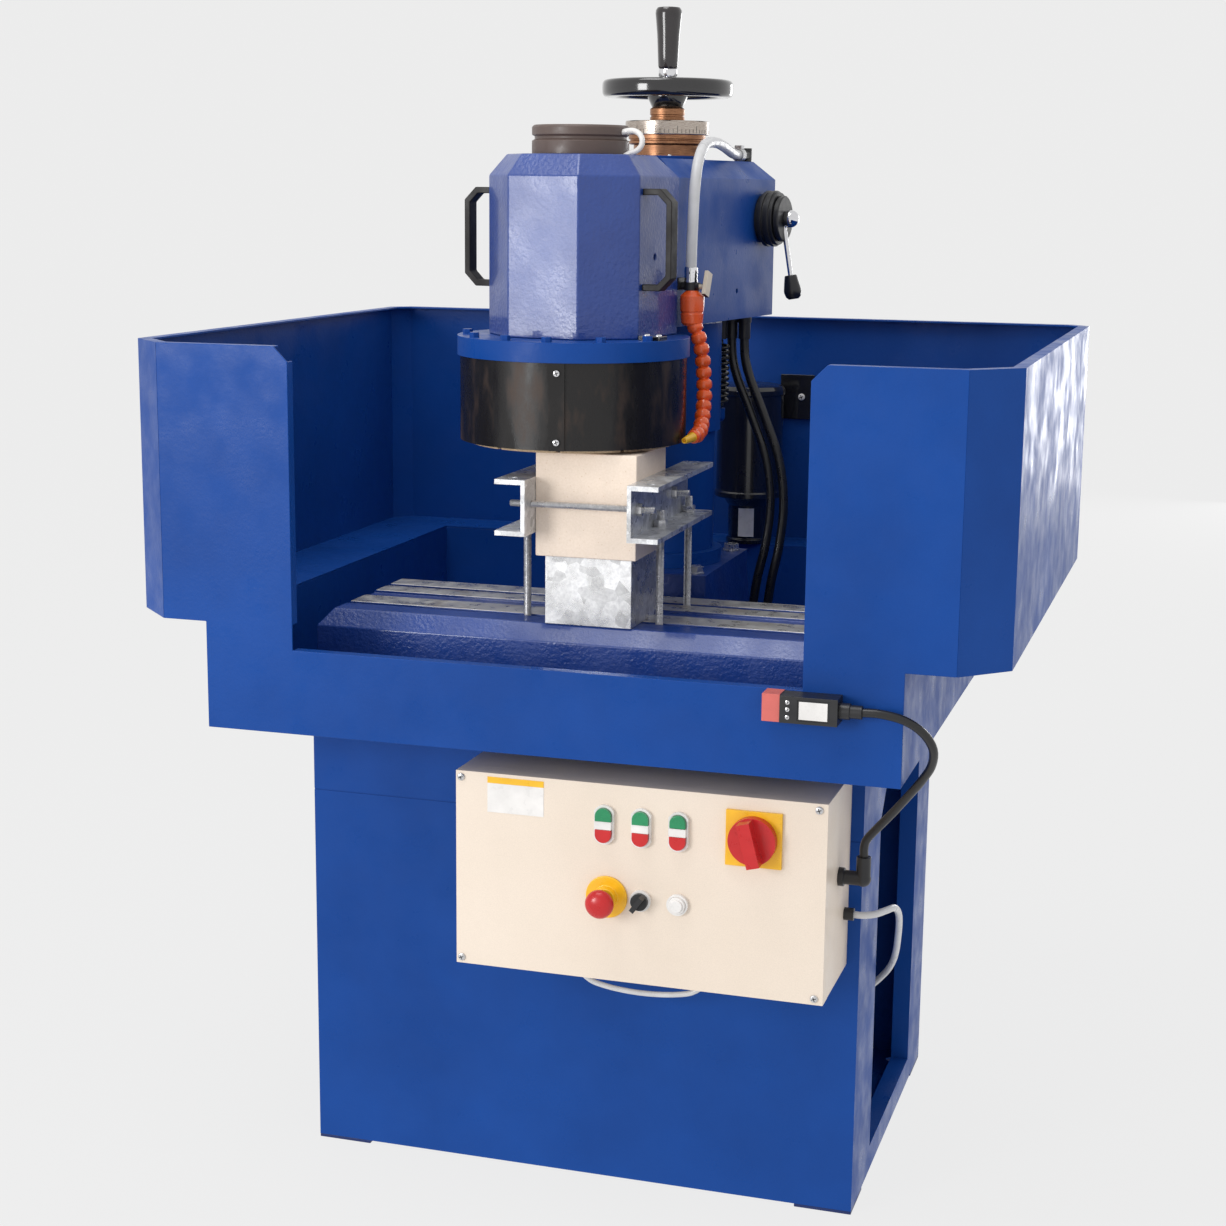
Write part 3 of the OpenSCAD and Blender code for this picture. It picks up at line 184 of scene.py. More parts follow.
# ---- shapes ----
class Shape:
    """One mesh, built from solids in millimetres in one of the places above."""

    def __init__(self):
        self.work = bmesh.new()
        self.look = 0

    def add(self, points, faces):
        """Faces given as runs of numbers into the points, with the current look."""
        made = [self.work.verts.new(point) for point in points]
        for face in faces:
            self.work.faces.new([made[i] for i in face]).material_index = self.look

    def prism(self, outline, low, high, turn=Matrix()):
        """An outline in the XY plane, from z = low to z = high, then turned."""
        count = len(outline)
        points = [turn @ Vector((x, y, z)) for z in (low, high) for x, y in outline]
        sides = [(i, (i + 1) % count, count + (i + 1) % count, count + i) for i in range(count)]
        self.add(points, sides + [tuple(range(count - 1, -1, -1)), tuple(range(count, 2 * count))])

    def box(self, low, high, turn=Matrix()):
        """A block between two opposite corners, then turned."""
        outline = [(low[0], low[1]), (high[0], low[1]), (high[0], high[1]), (low[0], high[1])]
        self.prism(outline, low[2], high[2], turn)

    def lathe(self, profile, turn=Matrix(), steps=48, closed=False):
        """A profile of (radius, height) turned about Z. An open profile runs from axis to axis."""
        rows = []
        for radius, height in profile:
            if radius == 0:
                rows.append([self.work.verts.new(turn @ Vector((0, 0, height)))])
                continue
            rows.append([self.work.verts.new(turn @ Vector((
                radius * math.cos(2 * math.pi * k / steps),
                radius * math.sin(2 * math.pi * k / steps), height))) for k in range(steps)])
        pairs = list(zip(rows, rows[1:] + rows[:1])) if closed else list(zip(rows, rows[1:]))
        for lower, upper in pairs:
            for k in range(steps):
                n = (k + 1) % steps
                corners = [lower[k % len(lower)], lower[n % len(lower)],
                           upper[n % len(upper)], upper[k % len(upper)]]
                distinct = list(dict.fromkeys(corners))
                if len(distinct) > 2:
                    self.work.faces.new(distinct).material_index = self.look

    def tube(self, points, radius, sides=12):
        """A round tube along points, with flat ends; radius may be a list, one per point."""
        points = [Vector(point) for point in points]
        radii = radius if isinstance(radius, list) else [radius] * len(points)
        last = len(points) - 1
        ahead = [(points[min(i + 1, last)] - points[max(i - 1, 0)]).normalized() for i in range(last + 1)]
        side = ahead[0].orthogonal().normalized()
        rows = []
        for i, point in enumerate(points):
            side = (side - ahead[i] * side.dot(ahead[i])).normalized()
            other = ahead[i].cross(side)
            rows.append([self.work.verts.new(point + radii[i] * (
                math.cos(2 * math.pi * k / sides) * side + math.sin(2 * math.pi * k / sides) * other))
                for k in range(sides)])
        for lower, upper in zip(rows, rows[1:]):
            for k in range(sides):
                n = (k + 1) % sides
                face = self.work.faces.new((lower[k], lower[n], upper[n], upper[k]))
                face.material_index = self.look
        self.work.faces.new(list(reversed(rows[0]))).material_index = self.look
        self.work.faces.new(rows[-1]).material_index = self.look

    def made(self, name, place, looks, bevel=0.0):
        """The finished object. Edges sharper than the smoothing angle get a radius of bevel metres."""
        bmesh.ops.recalc_face_normals(self.work, faces=self.work.faces)
        bmesh.ops.transform(self.work, matrix=place @ Matrix.Scale(MM, 4), verts=self.work.verts)
        mesh = bpy.data.meshes.new(name)
        self.work.to_mesh(mesh)
        self.work.free()
        return finished(name, mesh, looks, bevel)


SMOOTH_ANGLE = math.radians(32)
BEVEL_STEPS = 2


def finished(name, mesh, looks, bevel):
    """An object with its looks, smooth faces, and either rounded or sharp edges."""
    for look in looks:
        mesh.materials.append(look)
    made = bpy.data.objects.new(name, mesh)
    COLLECTION.objects.link(made)
    mesh.shade_smooth()
    if bevel:
        edge = made.modifiers.new("edge_radius", "BEVEL")
        edge.width = bevel
        edge.segments = BEVEL_STEPS
        edge.limit_method = "ANGLE"
        edge.angle_limit = SMOOTH_ANGLE
        edge.harden_normals = True
    else:
        mesh.set_sharp_from_angle(angle=SMOOTH_ANGLE)
    return made


def stands_for(made, node):
    """The piece rides on the node's body and hides the node."""
    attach(made, NODES[node]["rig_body"])
    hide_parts(node)
    return made


def goes_with(made, node):
    """A further piece on the node's body, which hides nothing."""
    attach(made, NODES[node]["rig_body"])
    return made


WELD = 0.00002
FLAT_ANGLE = math.radians(0.6)


def refine(node, looks, bevel=0.001, paint_by=None, cut=None):
    """A piece with the CAD node's shape, clean faces and rounded edges, in place of the node.

    paint_by gives the number of the look for a face from its centre, in millimetres, and its normal.
    cut is a height in millimetres at which the faces are parted first."""
    mesh = NODES[node].data.copy()
    mesh.materials.clear()
    work = bmesh.new()
    work.from_mesh(mesh)
    bmesh.ops.remove_doubles(work, verts=work.verts, dist=WELD)
    bmesh.ops.dissolve_limit(work, angle_limit=FLAT_ANGLE, verts=work.verts, edges=work.edges)
    if cut:
        everything = work.verts[:] + work.edges[:] + work.faces[:]
        bmesh.ops.bisect_plane(work, geom=everything, plane_co=(0, 0, cut * MM), plane_no=(0, 0, 1))
    for face in work.faces:
        face.material_index = 0
        if paint_by:
            face.material_index = paint_by(face.calc_center_median() / MM, face.normal)
    work.to_mesh(mesh)
    work.free()
    for extra in [a.name for a in mesh.attributes if a.name == "custom_normal"]:
        mesh.attributes.remove(mesh.attributes[extra])
    return stands_for(finished(node + "_skin", mesh, looks, bevel), node)


def local(place, point):
    """A point of the row frame, in millimetres, in one of the places above."""
    return (place.inverted() @ (point * MM)) / MM


ALONG_Y = Matrix.Rotation(math.radians(90), 4, "X")
ALONG_X = Matrix.Rotation(math.radians(90), 4, "Y")


def shifted(x, y, z, turn=Matrix()):
    """A place moved by millimetres, and turned first where a turn is given."""
    return Matrix.Translation((x, y, z)) @ turn


# ---- materials ----
class Look:
    """A node-based material under construction."""

    def __init__(self, name, colour, roughness, metallic=0.0):
        self.material = bpy.data.materials.new(name)
        self.material.use_nodes = True
        self.tree = self.material.node_tree
        self.shader = self.tree.nodes["Principled BSDF"]
        self.set("Base Color", (*colour, 1))
        self.set("Roughness", roughness)
        self.set("Metallic", metallic)
        self.place = self.tree.nodes.new("ShaderNodeTexCoord").outputs["Object"]
        self.normal = None

    def set(self, socket, value):
        self.shader.inputs[socket].default_value = value

    def link(self, output, target):
        self.tree.links.new(output, target)

    def stretched(self, stretch):
        """Object coordinates, scaled by axis for marks that run one way."""
        if stretch is None:
            return self.place
        node = self.tree.nodes.new("ShaderNodeMapping")
        node.inputs["Scale"].default_value = stretch
        self.link(self.place, node.inputs["Vector"])
        return node.outputs["Vector"]

    def noise(self, scale, detail=3.0, roughness=0.55, stretch=None):
        node = self.tree.nodes.new("ShaderNodeTexNoise")
        node.inputs["Scale"].default_value = scale
        node.inputs["Detail"].default_value = detail
        node.inputs["Roughness"].default_value = roughness
        self.link(self.stretched(stretch), node.inputs["Vector"])
        return node.outputs["Fac"]

    def cells(self, scale, output="Distance"):
        node = self.tree.nodes.new("ShaderNodeTexVoronoi")
        node.inputs["Scale"].default_value = scale
        self.link(self.place, node.inputs["Vector"])
        return node.outputs[output]

    def ramp(self, value, stops):
        """Colours at positions along a grey value."""
        node = self.tree.nodes.new("ShaderNodeValToRGB")
        ramp = node.color_ramp
        while len(ramp.elements) < len(stops):
            ramp.elements.new(0.5)
        for element, (position, colour) in zip(ramp.elements, stops):
            element.position = position
            element.color = (*colour, 1)
        self.link(value, node.inputs["Fac"])
        return node.outputs["Color"]

    def grey_ramp(self, value, low, high, start=0.35, end=0.65):
        return self.ramp(value, [(start, (low,) * 3), (end, (high,) * 3)])

    def mix(self, factor, first, second, mode="MIX"):
        node = self.tree.nodes.new("ShaderNodeMix")
        node.data_type = "RGBA"
        node.blend_type = mode
        factor_at, first_at, second_at = (node.inputs[number] for number in (0, 6, 7))
        for socket, value in ((factor_at, factor), (first_at, first), (second_at, second)):
            if isinstance(value, bpy.types.NodeSocket):
                self.link(value, socket)
            elif isinstance(value, tuple):
                socket.default_value = (*value, 1)
            else:
                socket.default_value = value
        return node.outputs[2]

    def colour(self, output):
        self.link(output, self.shader.inputs["Base Color"])

    def roughness(self, output):
        self.link(output, self.shader.inputs["Roughness"])

    def bump(self, height, strength, distance):
        node = self.tree.nodes.new("ShaderNodeBump")
        node.inputs["Strength"].default_value = strength
        node.inputs["Distance"].default_value = distance
        self.link(height, node.inputs["Height"])
        if self.normal is not None:
            self.link(self.normal, node.inputs["Normal"])
        self.normal = node.outputs["Normal"]
        self.link(self.normal, self.shader.inputs["Normal"])


def enamel(name, base, deep, roughness, hammer, coat, gloss=0.5):
    """Enamel on metal: mottled colour, orange peel and an uneven gloss."""
    look = Look(name, base, roughness)
    look.set("Specular IOR Level", gloss)
    look.set("Coat Weight", coat)
    look.set("Coat Roughness", 0.08)
    patches = look.grey_ramp(look.noise(5.0, 4.0), 0.0, 1.0, 0.3, 0.7)
    mottle = look.mix(patches, base, deep)
    speck = look.ramp(look.noise(900.0, 2.0), [(0.0, (0.84,) * 3), (1.0, (1.1,) * 3)])
    look.colour(look.mix(1.0, mottle, speck, "MULTIPLY"))
    look.roughness(look.grey_ramp(look.noise(18.0, 5.0), roughness * 0.75, roughness * 1.35))
    look.bump(look.noise(170.0, 2.0), hammer, 0.002)
    look.bump(look.noise(700.0, 2.0), 0.08, 0.0006)
    return look.material


def metal(name, base, deep, roughness, stretch=None, grain=400.0, spangle=0.0, stain=None, bare=1.0):
    """Bare or plated metal with grinding marks along one direction, spangle cells and stains.

    bare is below 1 where an oxide or a zinc bloom dulls the metal."""
    look = Look(name, base, roughness, bare)
    marks = look.noise(grain, 4.0, 0.6, stretch)
    tone = look.mix(look.grey_ramp(marks, 0.0, 1.0, 0.3, 0.7), base, deep)
    if spangle:
        crystals = look.ramp(look.cells(spangle, "Color"), [(0.1, (0.7,) * 3), (0.9, (1.15,) * 3)])
        tone = look.mix(1.0, tone, crystals, "MULTIPLY")
    if stain:
        spots = look.grey_ramp(look.noise(14.0, 6.0, 0.65), 0.0, 0.75, 0.52, 0.72)
        tone = look.mix(spots, tone, stain)
    look.colour(tone)
    look.roughness(look.grey_ramp(look.noise(40.0, 5.0), roughness * 0.7, roughness * 1.5))
    look.bump(marks, 0.12, 0.0004)
    return look.material


def moulded(name, base, roughness, grain=0.06, coat=0.0, shade=0.86):
    """Moulded plastic or rubber with a fine grain and slight handling marks."""
    look = Look(name, base, roughness)
    look.set("Coat Weight", coat)
    look.set("Coat Roughness", 0.1)
    cloud = look.grey_ramp(look.noise(30.0, 4.0), shade, 1.06, 0.3, 0.75)
    look.colour(look.mix(1.0, base, cloud, "MULTIPLY"))
    look.roughness(look.grey_ramp(look.noise(60.0, 5.0), roughness * 0.8, roughness * 1.3))
    look.bump(look.noise(1500.0, 2.0), grain, 0.0004)
    return look.material


def gritty(name, base, deep, pore, scale):
    """Cast or bonded grit: fine aggregate with darker pores."""
    look = Look(name, base, 0.85)
    grain = look.noise(scale, 6.0, 0.7)
    grit = look.mix(look.grey_ramp(grain, 0.0, 1.0), base, deep)
    pores = look.ramp(look.cells(scale * 0.45), [(0.05, pore), (0.16, (1, 1, 1))])
    cloud = look.grey_ramp(look.noise(9.0, 4.0), 0.9, 1.05, 0.3, 0.7)
    look.colour(look.mix(1.0, look.mix(1.0, grit, pores, "MULTIPLY"), cloud, "MULTIPLY"))
    look.bump(grain, 0.35, 0.0012)
    return look.material


def stained_enamel():
    """Black enamel with brown splashes of grinding sludge."""
    black, sludge = (0.012, 0.011, 0.011), (0.11, 0.062, 0.04)
    look = Look("skirt_enamel", black, 0.2)
    look.set("Specular IOR Level", 0.35)
    runs = look.noise(22.0, 5.0, 0.6, (1, 1, 0.35))
    look.colour(look.mix(look.grey_ramp(runs, 0.0, 0.7, 0.5, 0.8), black, sludge))
    look.roughness(look.grey_ramp(runs, 0.14, 0.5))
    look.bump(look.noise(260.0, 3.0), 0.1, 0.001)
    return look.material


BLUE = enamel("blue_enamel", (0.008, 0.066, 0.315), (0.006, 0.052, 0.255), 0.36, 0.10, 0.0, 0.15)
HAMMERED = enamel("hammered_blue", (0.014, 0.060, 0.30), (0.008, 0.034, 0.20), 0.38, 0.55, 0.45, 0.6)
DARK_BLUE = enamel("dark_blue_enamel", (0.012, 0.030, 0.14), (0.01, 0.02, 0.09), 0.4, 0.12, 0.0, 0.3)
CREAM = enamel("cream_powder_coat", (0.82, 0.71, 0.60), (0.77, 0.66, 0.55), 0.42, 0.07, 0.1)
BLACK = enamel("black_enamel", (0.012, 0.012, 0.014), (0.006, 0.006, 0.007), 0.22, 0.05, 0.6)
SATIN_BLACK = enamel("satin_black", (0.016, 0.014, 0.014), (0.010, 0.009, 0.009), 0.5, 0.12, 0.0, 0.35)
SKIRT = stained_enamel()
GREY = enamel("grey_primer", (0.30, 0.31, 0.33), (0.22, 0.23, 0.25), 0.6, 0.1, 0.0)
ZINC = metal("zinc_plate", (0.68, 0.68, 0.69), (0.50, 0.50, 0.51), 0.28, grain=220.0, bare=0.75)
GALVANISED = metal("galvanised", (0.78, 0.79, 0.80), (0.58, 0.59, 0.61), 0.34, spangle=90.0,
                   stain=(0.36, 0.32, 0.27), bare=0.6)
RISER = metal("milled_block", (0.84, 0.84, 0.84), (0.60, 0.60, 0.61), 0.3, spangle=55.0, grain=160.0,
              bare=0.8)
GROUND = metal("ground_iron", (0.78, 0.77, 0.74), (0.50, 0.48, 0.44), 0.32, (1, 14, 1), 60.0,
               stain=(0.28, 0.20, 0.13), bare=0.7)
STEEL = metal("turned_steel", (0.58, 0.58, 0.59), (0.40, 0.40, 0.41), 0.25, (1, 1, 12), 120.0)
BRONZE = metal("turned_bronze", (0.50, 0.25, 0.13), (0.24, 0.11, 0.06), 0.3, (1, 1, 20), 90.0)
DIAL = metal("dial_ring", (0.62, 0.56, 0.50), (0.36, 0.29, 0.24), 0.22, (1, 1, 8), 150.0)
CHROME = metal("chrome", (0.82, 0.82, 0.84), (0.70, 0.70, 0.72), 0.08, grain=60.0)
BLACK_PLASTIC = moulded("black_plastic", (0.014, 0.014, 0.016), 0.35, 0.1)
DARK_CAP = moulded("brown_black_plastic", (0.105, 0.072, 0.062), 0.42, 0.12)
GLOSS_BLACK = moulded("polished_black", (0.010, 0.009, 0.010), 0.12, 0.02, 0.8)
GRIP = moulded("black_grip", (0.016, 0.012, 0.013), 0.2, 0.04, 0.6)
RUBBER = moulded("black_rubber", (0.012, 0.012, 0.013), 0.3, 0.08)
GREY_HOSE = moulded("grey_hose", (0.66, 0.66, 0.67), 0.32, 0.05)
ORANGE = moulded("orange_plastic", (0.93, 0.12, 0.018), 0.24, 0.04, 0.4)
GREEN = moulded("green_plastic", (0.008, 0.25, 0.095), 0.25, 0.04, 0.3)
RED = moulded("red_plastic", (0.55, 0.008, 0.010), 0.3, 0.04, 0.15)
PINK = moulded("faded_red_plastic", (0.62, 0.13, 0.11), 0.4, 0.06, 0.1)
YELLOW = moulded("yellow_plastic", (0.91, 0.50, 0.012), 0.32, 0.04, 0.2)
WHITE = moulded("white_plastic", (0.80, 0.78, 0.76), 0.3, 0.04, 0.2)
IVORY = moulded("ivory_plastic", (0.72, 0.62, 0.50), 0.4, 0.06)
ABRASIVE = gritty("bonded_abrasive", (0.62, 0.46, 0.30), (0.40, 0.28, 0.17), (0.4, 0.35, 0.3), 420.0)
CONCRETE = gritty("cast_concrete", (0.93, 0.79, 0.67), (0.86, 0.72, 0.59), (0.86, 0.8, 0.72), 300.0)


# ---- cords: routes in metres, through the points that the CAD source's routes have ----
ROUTE_STEPS = 4


def curve(points, steps):
    """A smooth line through the points, with the given number of stretches between neighbours."""
    points = [Vector(point) for point in points]
    line = []
    for i in range(len(points) - 1):
        before, here = points[max(i - 1, 0)], points[i]
        there, after = points[i + 1], points[min(i + 2, len(points) - 1)]
        for step in range(steps):
            t = step / steps
            line.append(0.5 * (2 * here + (there - before) * t
                               + (2 * before - 5 * here + 4 * there - after) * t * t
                               + (3 * here - before - 3 * there + after) * t * t * t))
    return line + [points[-1]]


def free_cord(name, place, line, diameter, look, sides=16):
    """A round cord along a line in metres in one of the places."""
    line = [place @ Vector(point) for point in line]
    shape = Shape()
    shape.tube([point / MM for point in line], diameter / 2 / MM, sides)
    made = shape.made(name, Matrix(), [look])
    return made


# The interlock's cable, from its gland round to the elbow on the control box, in the machine's frame.
LOCK_ROUTE = [(0.451, -0.200, 0.804), (0.475, -0.200, 0.804), (0.505, -0.196, 0.797),
              (0.528, -0.186, 0.780), (0.540, -0.172, 0.756), (0.536, -0.152, 0.728),
              (0.520, -0.132, 0.700), (0.500, -0.112, 0.672), (0.478, -0.097, 0.643),
              (0.456, -0.086, 0.616), (0.442, -0.081, 0.598), (0.438, -0.080, 0.586),
              (0.438, -0.080, 0.572)]
# The grey cable from the control box into the side window, in the machine's frame.
SIDE_ROUTE = [(0.418, -0.030, 0.470), (0.430, -0.030, 0.470), (0.446, -0.023, 0.471),
              (0.459, -0.004, 0.472), (0.466, 0.028, 0.466), (0.466, 0.068, 0.440),
              (0.459, 0.110, 0.395), (0.449, 0.150, 0.350), (0.436, 0.180, 0.318),
              (0.420, 0.198, 0.294), (0.398, 0.200, 0.270), (0.372, 0.176, 0.244),
              (0.350, 0.125, 0.219), (0.335, 0.075, 0.203), (0.332, 0.044, 0.200),
              (0.332, 0.025, 0.200)]
# The short loop under the control box, in the machine's frame.
LOOP_ROUTE = [(0.020, -0.060, 0.378), (0.020, -0.060, 0.370), (0.022, -0.060, 0.358),
              (0.027, -0.060, 0.348), (0.036, -0.060, 0.340), (0.050, -0.060, 0.334),
              (0.080, -0.060, 0.329), (0.117, -0.060, 0.327), (0.154, -0.060, 0.329),
              (0.184, -0.060, 0.334), (0.198, -0.060, 0.340), (0.207, -0.060, 0.348),
              (0.212, -0.060, 0.358), (0.214, -0.060, 0.370), (0.214, -0.060, 0.378)]
# The two conduits from the table up into the arm, in the machine's frame.
CONDUIT_ROUTES = [
    [(0.0826, 0.5386, 1.370), (0.0826, 0.5386, 1.236), (0.090, 0.535, 1.180), (0.120, 0.528, 1.110),
     (0.148, 0.520, 1.040), (0.160, 0.512, 0.970), (0.155, 0.506, 0.900), (0.143, 0.502, 0.840),
     (0.136, 0.500, 0.780), (0.134, 0.500, 0.726)],
    [(0.1044, 0.5356, 1.370), (0.1044, 0.5356, 1.236), (0.112, 0.532, 1.180), (0.142, 0.526, 1.110),
     (0.170, 0.520, 1.040), (0.182, 0.512, 0.970), (0.178, 0.506, 0.900), (0.167, 0.502, 0.840),
     (0.160, 0.500, 0.780), (0.158, 0.500, 0.726)]]
# They follow the swing more and more between these two heights, in millimetres.
CONDUIT_MIDDLE = (150, 500)
CONDUIT_FLEX_Z = (760, 1220)
# The coolant hose over the arm, in the arm's frame.
HOSE_ROUTE = [(0.080, 0.112, 1.522), (0.080, 0.098, 1.522), (0.083, 0.070, 1.524),
              (0.090, 0.035, 1.528), (0.098, -0.005, 1.533), (0.106, -0.050, 1.537),
              (0.114, -0.100, 1.537), (0.124, -0.148, 1.529), (0.132, -0.186, 1.506),
              (0.136, -0.206, 1.470), (0.137, -0.213, 1.425), (0.135, -0.212, 1.375),
              (0.135, -0.212, 1.334)]
# The short lead from the motor's cap into the head, in the head's frame.
LEAD_ROUTE = [(0.068, 0.012, 1.546), (0.077, 0.012, 1.548), (0.087, 0.011, 1.548),
              (0.096, 0.010, 1.544), (0.101, 0.009, 1.536), (0.100, 0.008, 1.527),
              (0.093, 0.007, 1.520), (0.084, 0.006, 1.517), (0.076, 0.006, 1.513)]
# The coiled hose under the arm, in the arm's frame.
COIL_AT = (0.058, 0.100)
COIL_LOW, COIL_HIGH = 1.118, 1.230
COIL_TURNS = 12
COIL_RADIUS = 0.01125
COIL_CORD = 0.0055


def coil_line():
    """A helix about the coil's axis that starts and ends on the axis, in the arm's frame."""
    per_turn, straight = 18, 0.004
    count = COIL_TURNS * per_turn
    line = [Vector((*COIL_AT, COIL_LOW)), Vector((*COIL_AT, COIL_LOW + straight / 2))]
    for i in range(count + 1):
        inward = min(i, count - i) / (per_turn * 0.5)
        ease = min(inward, 1.0) ** 2 * (3 - 2 * min(inward, 1.0))
        turn = 2 * math.pi * i / per_turn
        rise = COIL_LOW + straight + (COIL_HIGH - COIL_LOW - 2 * straight) * i / count
        line.append(Vector((COIL_AT[0] + COIL_RADIUS * ease * math.cos(turn),
                            COIL_AT[1] + COIL_RADIUS * ease * math.sin(turn), rise)))
    return line + [Vector((*COIL_AT, COIL_HIGH - straight / 2)), Vector((*COIL_AT, COIL_HIGH))]


def make_cords():
    """Every cord and hose that bends; the conduits and the coil are blended between two bodies."""
    stands_for(free_cord("switch_cord", ON_MACHINE, curve(LOCK_ROUTE, ROUTE_STEPS), 0.012, RUBBER), "switch_cable")
    stands_for(free_cord("side_cord", ON_MACHINE, curve(SIDE_ROUTE, ROUTE_STEPS), 0.010, GREY_HOSE), "side_cable")
    goes_with(free_cord("loop_cord", ON_MACHINE, curve(LOOP_ROUTE, ROUTE_STEPS), 0.008, GREY_HOSE), "side_cable")
    stands_for(free_cord("hose_cord", ON_ARM, curve(HOSE_ROUTE, ROUTE_STEPS), 0.016, GREY_HOSE,
                         20), "coolant_hose")
    goes_with(free_cord("cap_lead", ON_HEAD, curve(LEAD_ROUTE, ROUTE_STEPS), 0.008, WHITE), "motor_cap")
    for number, route in enumerate(CONDUIT_ROUTES, 1):
        conduit = free_cord("conduit_%d" % number, ON_MACHINE, curve(route, ROUTE_STEPS), 0.015, RUBBER)
        foot, top = (at(ON_MACHINE, (*CONDUIT_MIDDLE, z)) for z in CONDUIT_FLEX_Z)
        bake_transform(conduit, "root", "swing_sleeve", foot, top)
        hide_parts("power_conduits")
    coil = free_cord("coil_cord", ON_ARM, coil_line(), COIL_CORD, RUBBER, 8)
    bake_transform(coil, "swing_sleeve", "arm", (COLUMN.x, COLUMN.y, COIL_LOW), (COLUMN.x, COLUMN.y, COIL_HIGH))
    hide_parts("coiled_hose")


# ---- small hardware ----
def pan_screw(shape, turn, radius, height):
    """A domed screw head with a cross slot, seen along its own +Z."""
    shape.lathe([(0, -1), (radius, -1), (radius, height * 0.35), (radius * 0.86, height * 0.75),
                 (radius * 0.5, height), (0, height)], turn, 24)
    head_look = shape.look
    shape.look = 1
    for angle in (20, 110):
        spin = turn @ Matrix.Rotation(math.radians(angle), 4, "Z")
        shape.box((-radius * 0.62, -radius * 0.11, height * 0.7),
                  (radius * 0.62, radius * 0.11, height + 0.15), spin)
    shape.look = head_look


def thread(shape, turn, radius, length, pitch=2.0, steps=14):
    """A threaded rod along +Z, with a real ridge at each pitch and a chamfer at each end."""
    profile = [(0, 0), (radius - 1.2, 0), (radius - 0.3, 1)]
    count = int((length - 2) / pitch)
    for i in range(count):
        low = 1 + i * pitch
        profile += [(radius - 0.9, low + pitch * 0.3), (radius, low + pitch * 0.8)]
    profile += [(radius - 1.2, length), (0, length)]
    shape.lathe(profile, turn, steps)


def facing_front(x, y, z):
    """A place whose +Z points out of a front face."""
    return shifted(x, y, z, ALONG_Y)


# ---- sub-parts with their own detail ----
PANEL_Y = -169.0
PLATE_X = (-79, 4)
PLATE_Z = (611, 662)
PLATE_STRIP = 9
PLATE_T = 0.6
COVER_SCREW_R = 5.5


def make_box_plates():
    """A blank plate with a plain strip, and the cover's screws."""
    shape = Shape()
    shape.box((PLATE_X[0], PANEL_Y - PLATE_T, PLATE_Z[0]),
              (PLATE_X[1], PANEL_Y, PLATE_Z[1] - PLATE_STRIP))
    shape.look = 1
    shape.box((PLATE_X[0], PANEL_Y - PLATE_T, PLATE_Z[1] - PLATE_STRIP),
              (PLATE_X[1], PANEL_Y, PLATE_Z[1]))
    goes_with(shape.made("rating_plate", ON_MACHINE, [WHITE, YELLOW], 0.0002), "control_box_cover")
    low, high = (local(ON_MACHINE, corner / MM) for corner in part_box("cover_screws"))
    shape = Shape()
    for x in (low.x + COVER_SCREW_R, high.x - COVER_SCREW_R):
        for z in (low.z + COVER_SCREW_R, high.z - COVER_SCREW_R):
            pan_screw(shape, facing_front(x, PANEL_Y - 0.5, z), COVER_SCREW_R, 3.0)
    stands_for(shape.made("cover_screw_heads", ON_MACHINE, [ZINC, BLACK]), "cover_screws")


KEY_END_X = 343.5
SWITCH_PLATE_X = (370, 408)
SWITCH_SCREW_X = 355


def make_guard_switch():
    """A moulded switch with a red key, a blank plate and its fixing screws."""

    def key_or_body(centre, normal):
        return 1 if centre.x < KEY_END_X else 0

    refine("guard_switch", [BLACK_PLASTIC, PINK], 0.0016, key_or_body)
    low, high = (local(ON_MACHINE, corner / MM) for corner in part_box("guard_switch"))
    front = low.y
    shape = Shape()
    shape.box((SWITCH_PLATE_X[0], front - 0.2, low.z + 6), (SWITCH_PLATE_X[1], front + 0.9, high.z - 7))
    goes_with(shape.made("switch_plate", ON_MACHINE, [WHITE], 0.0004), "guard_switch")
    shape = Shape()
    for z in (low.z + 8, (low.z + high.z) / 2, high.z - 9):
        pan_screw(shape, facing_front(SWITCH_SCREW_X, front, z), 3.2, 1.8)
    goes_with(shape.made("switch_screws", ON_MACHINE, [CHROME, BLACK]), "guard_switch")


BEAD_PITCH = 17.0
BEAD = [(0, -10), (8, -10), (11, -7), (12, -2), (11.4, 2.5), (9.6, 5), (7.6, 6.4), (7.2, 9), (0, 9)]
CONNECTOR_AT = (138, -213)
NOZZLE_TURN = math.radians(-2)
NOZZLE_TILT = math.radians(95)
JET_ROUTE = [(140, -214, 1277), (146, -213, 1262), (152, -210, 1240), (156, -208, 1205),
             (159, -211, 1168), (164, -228, 1140), (172, -256, 1121), (175, -284, 1116)]


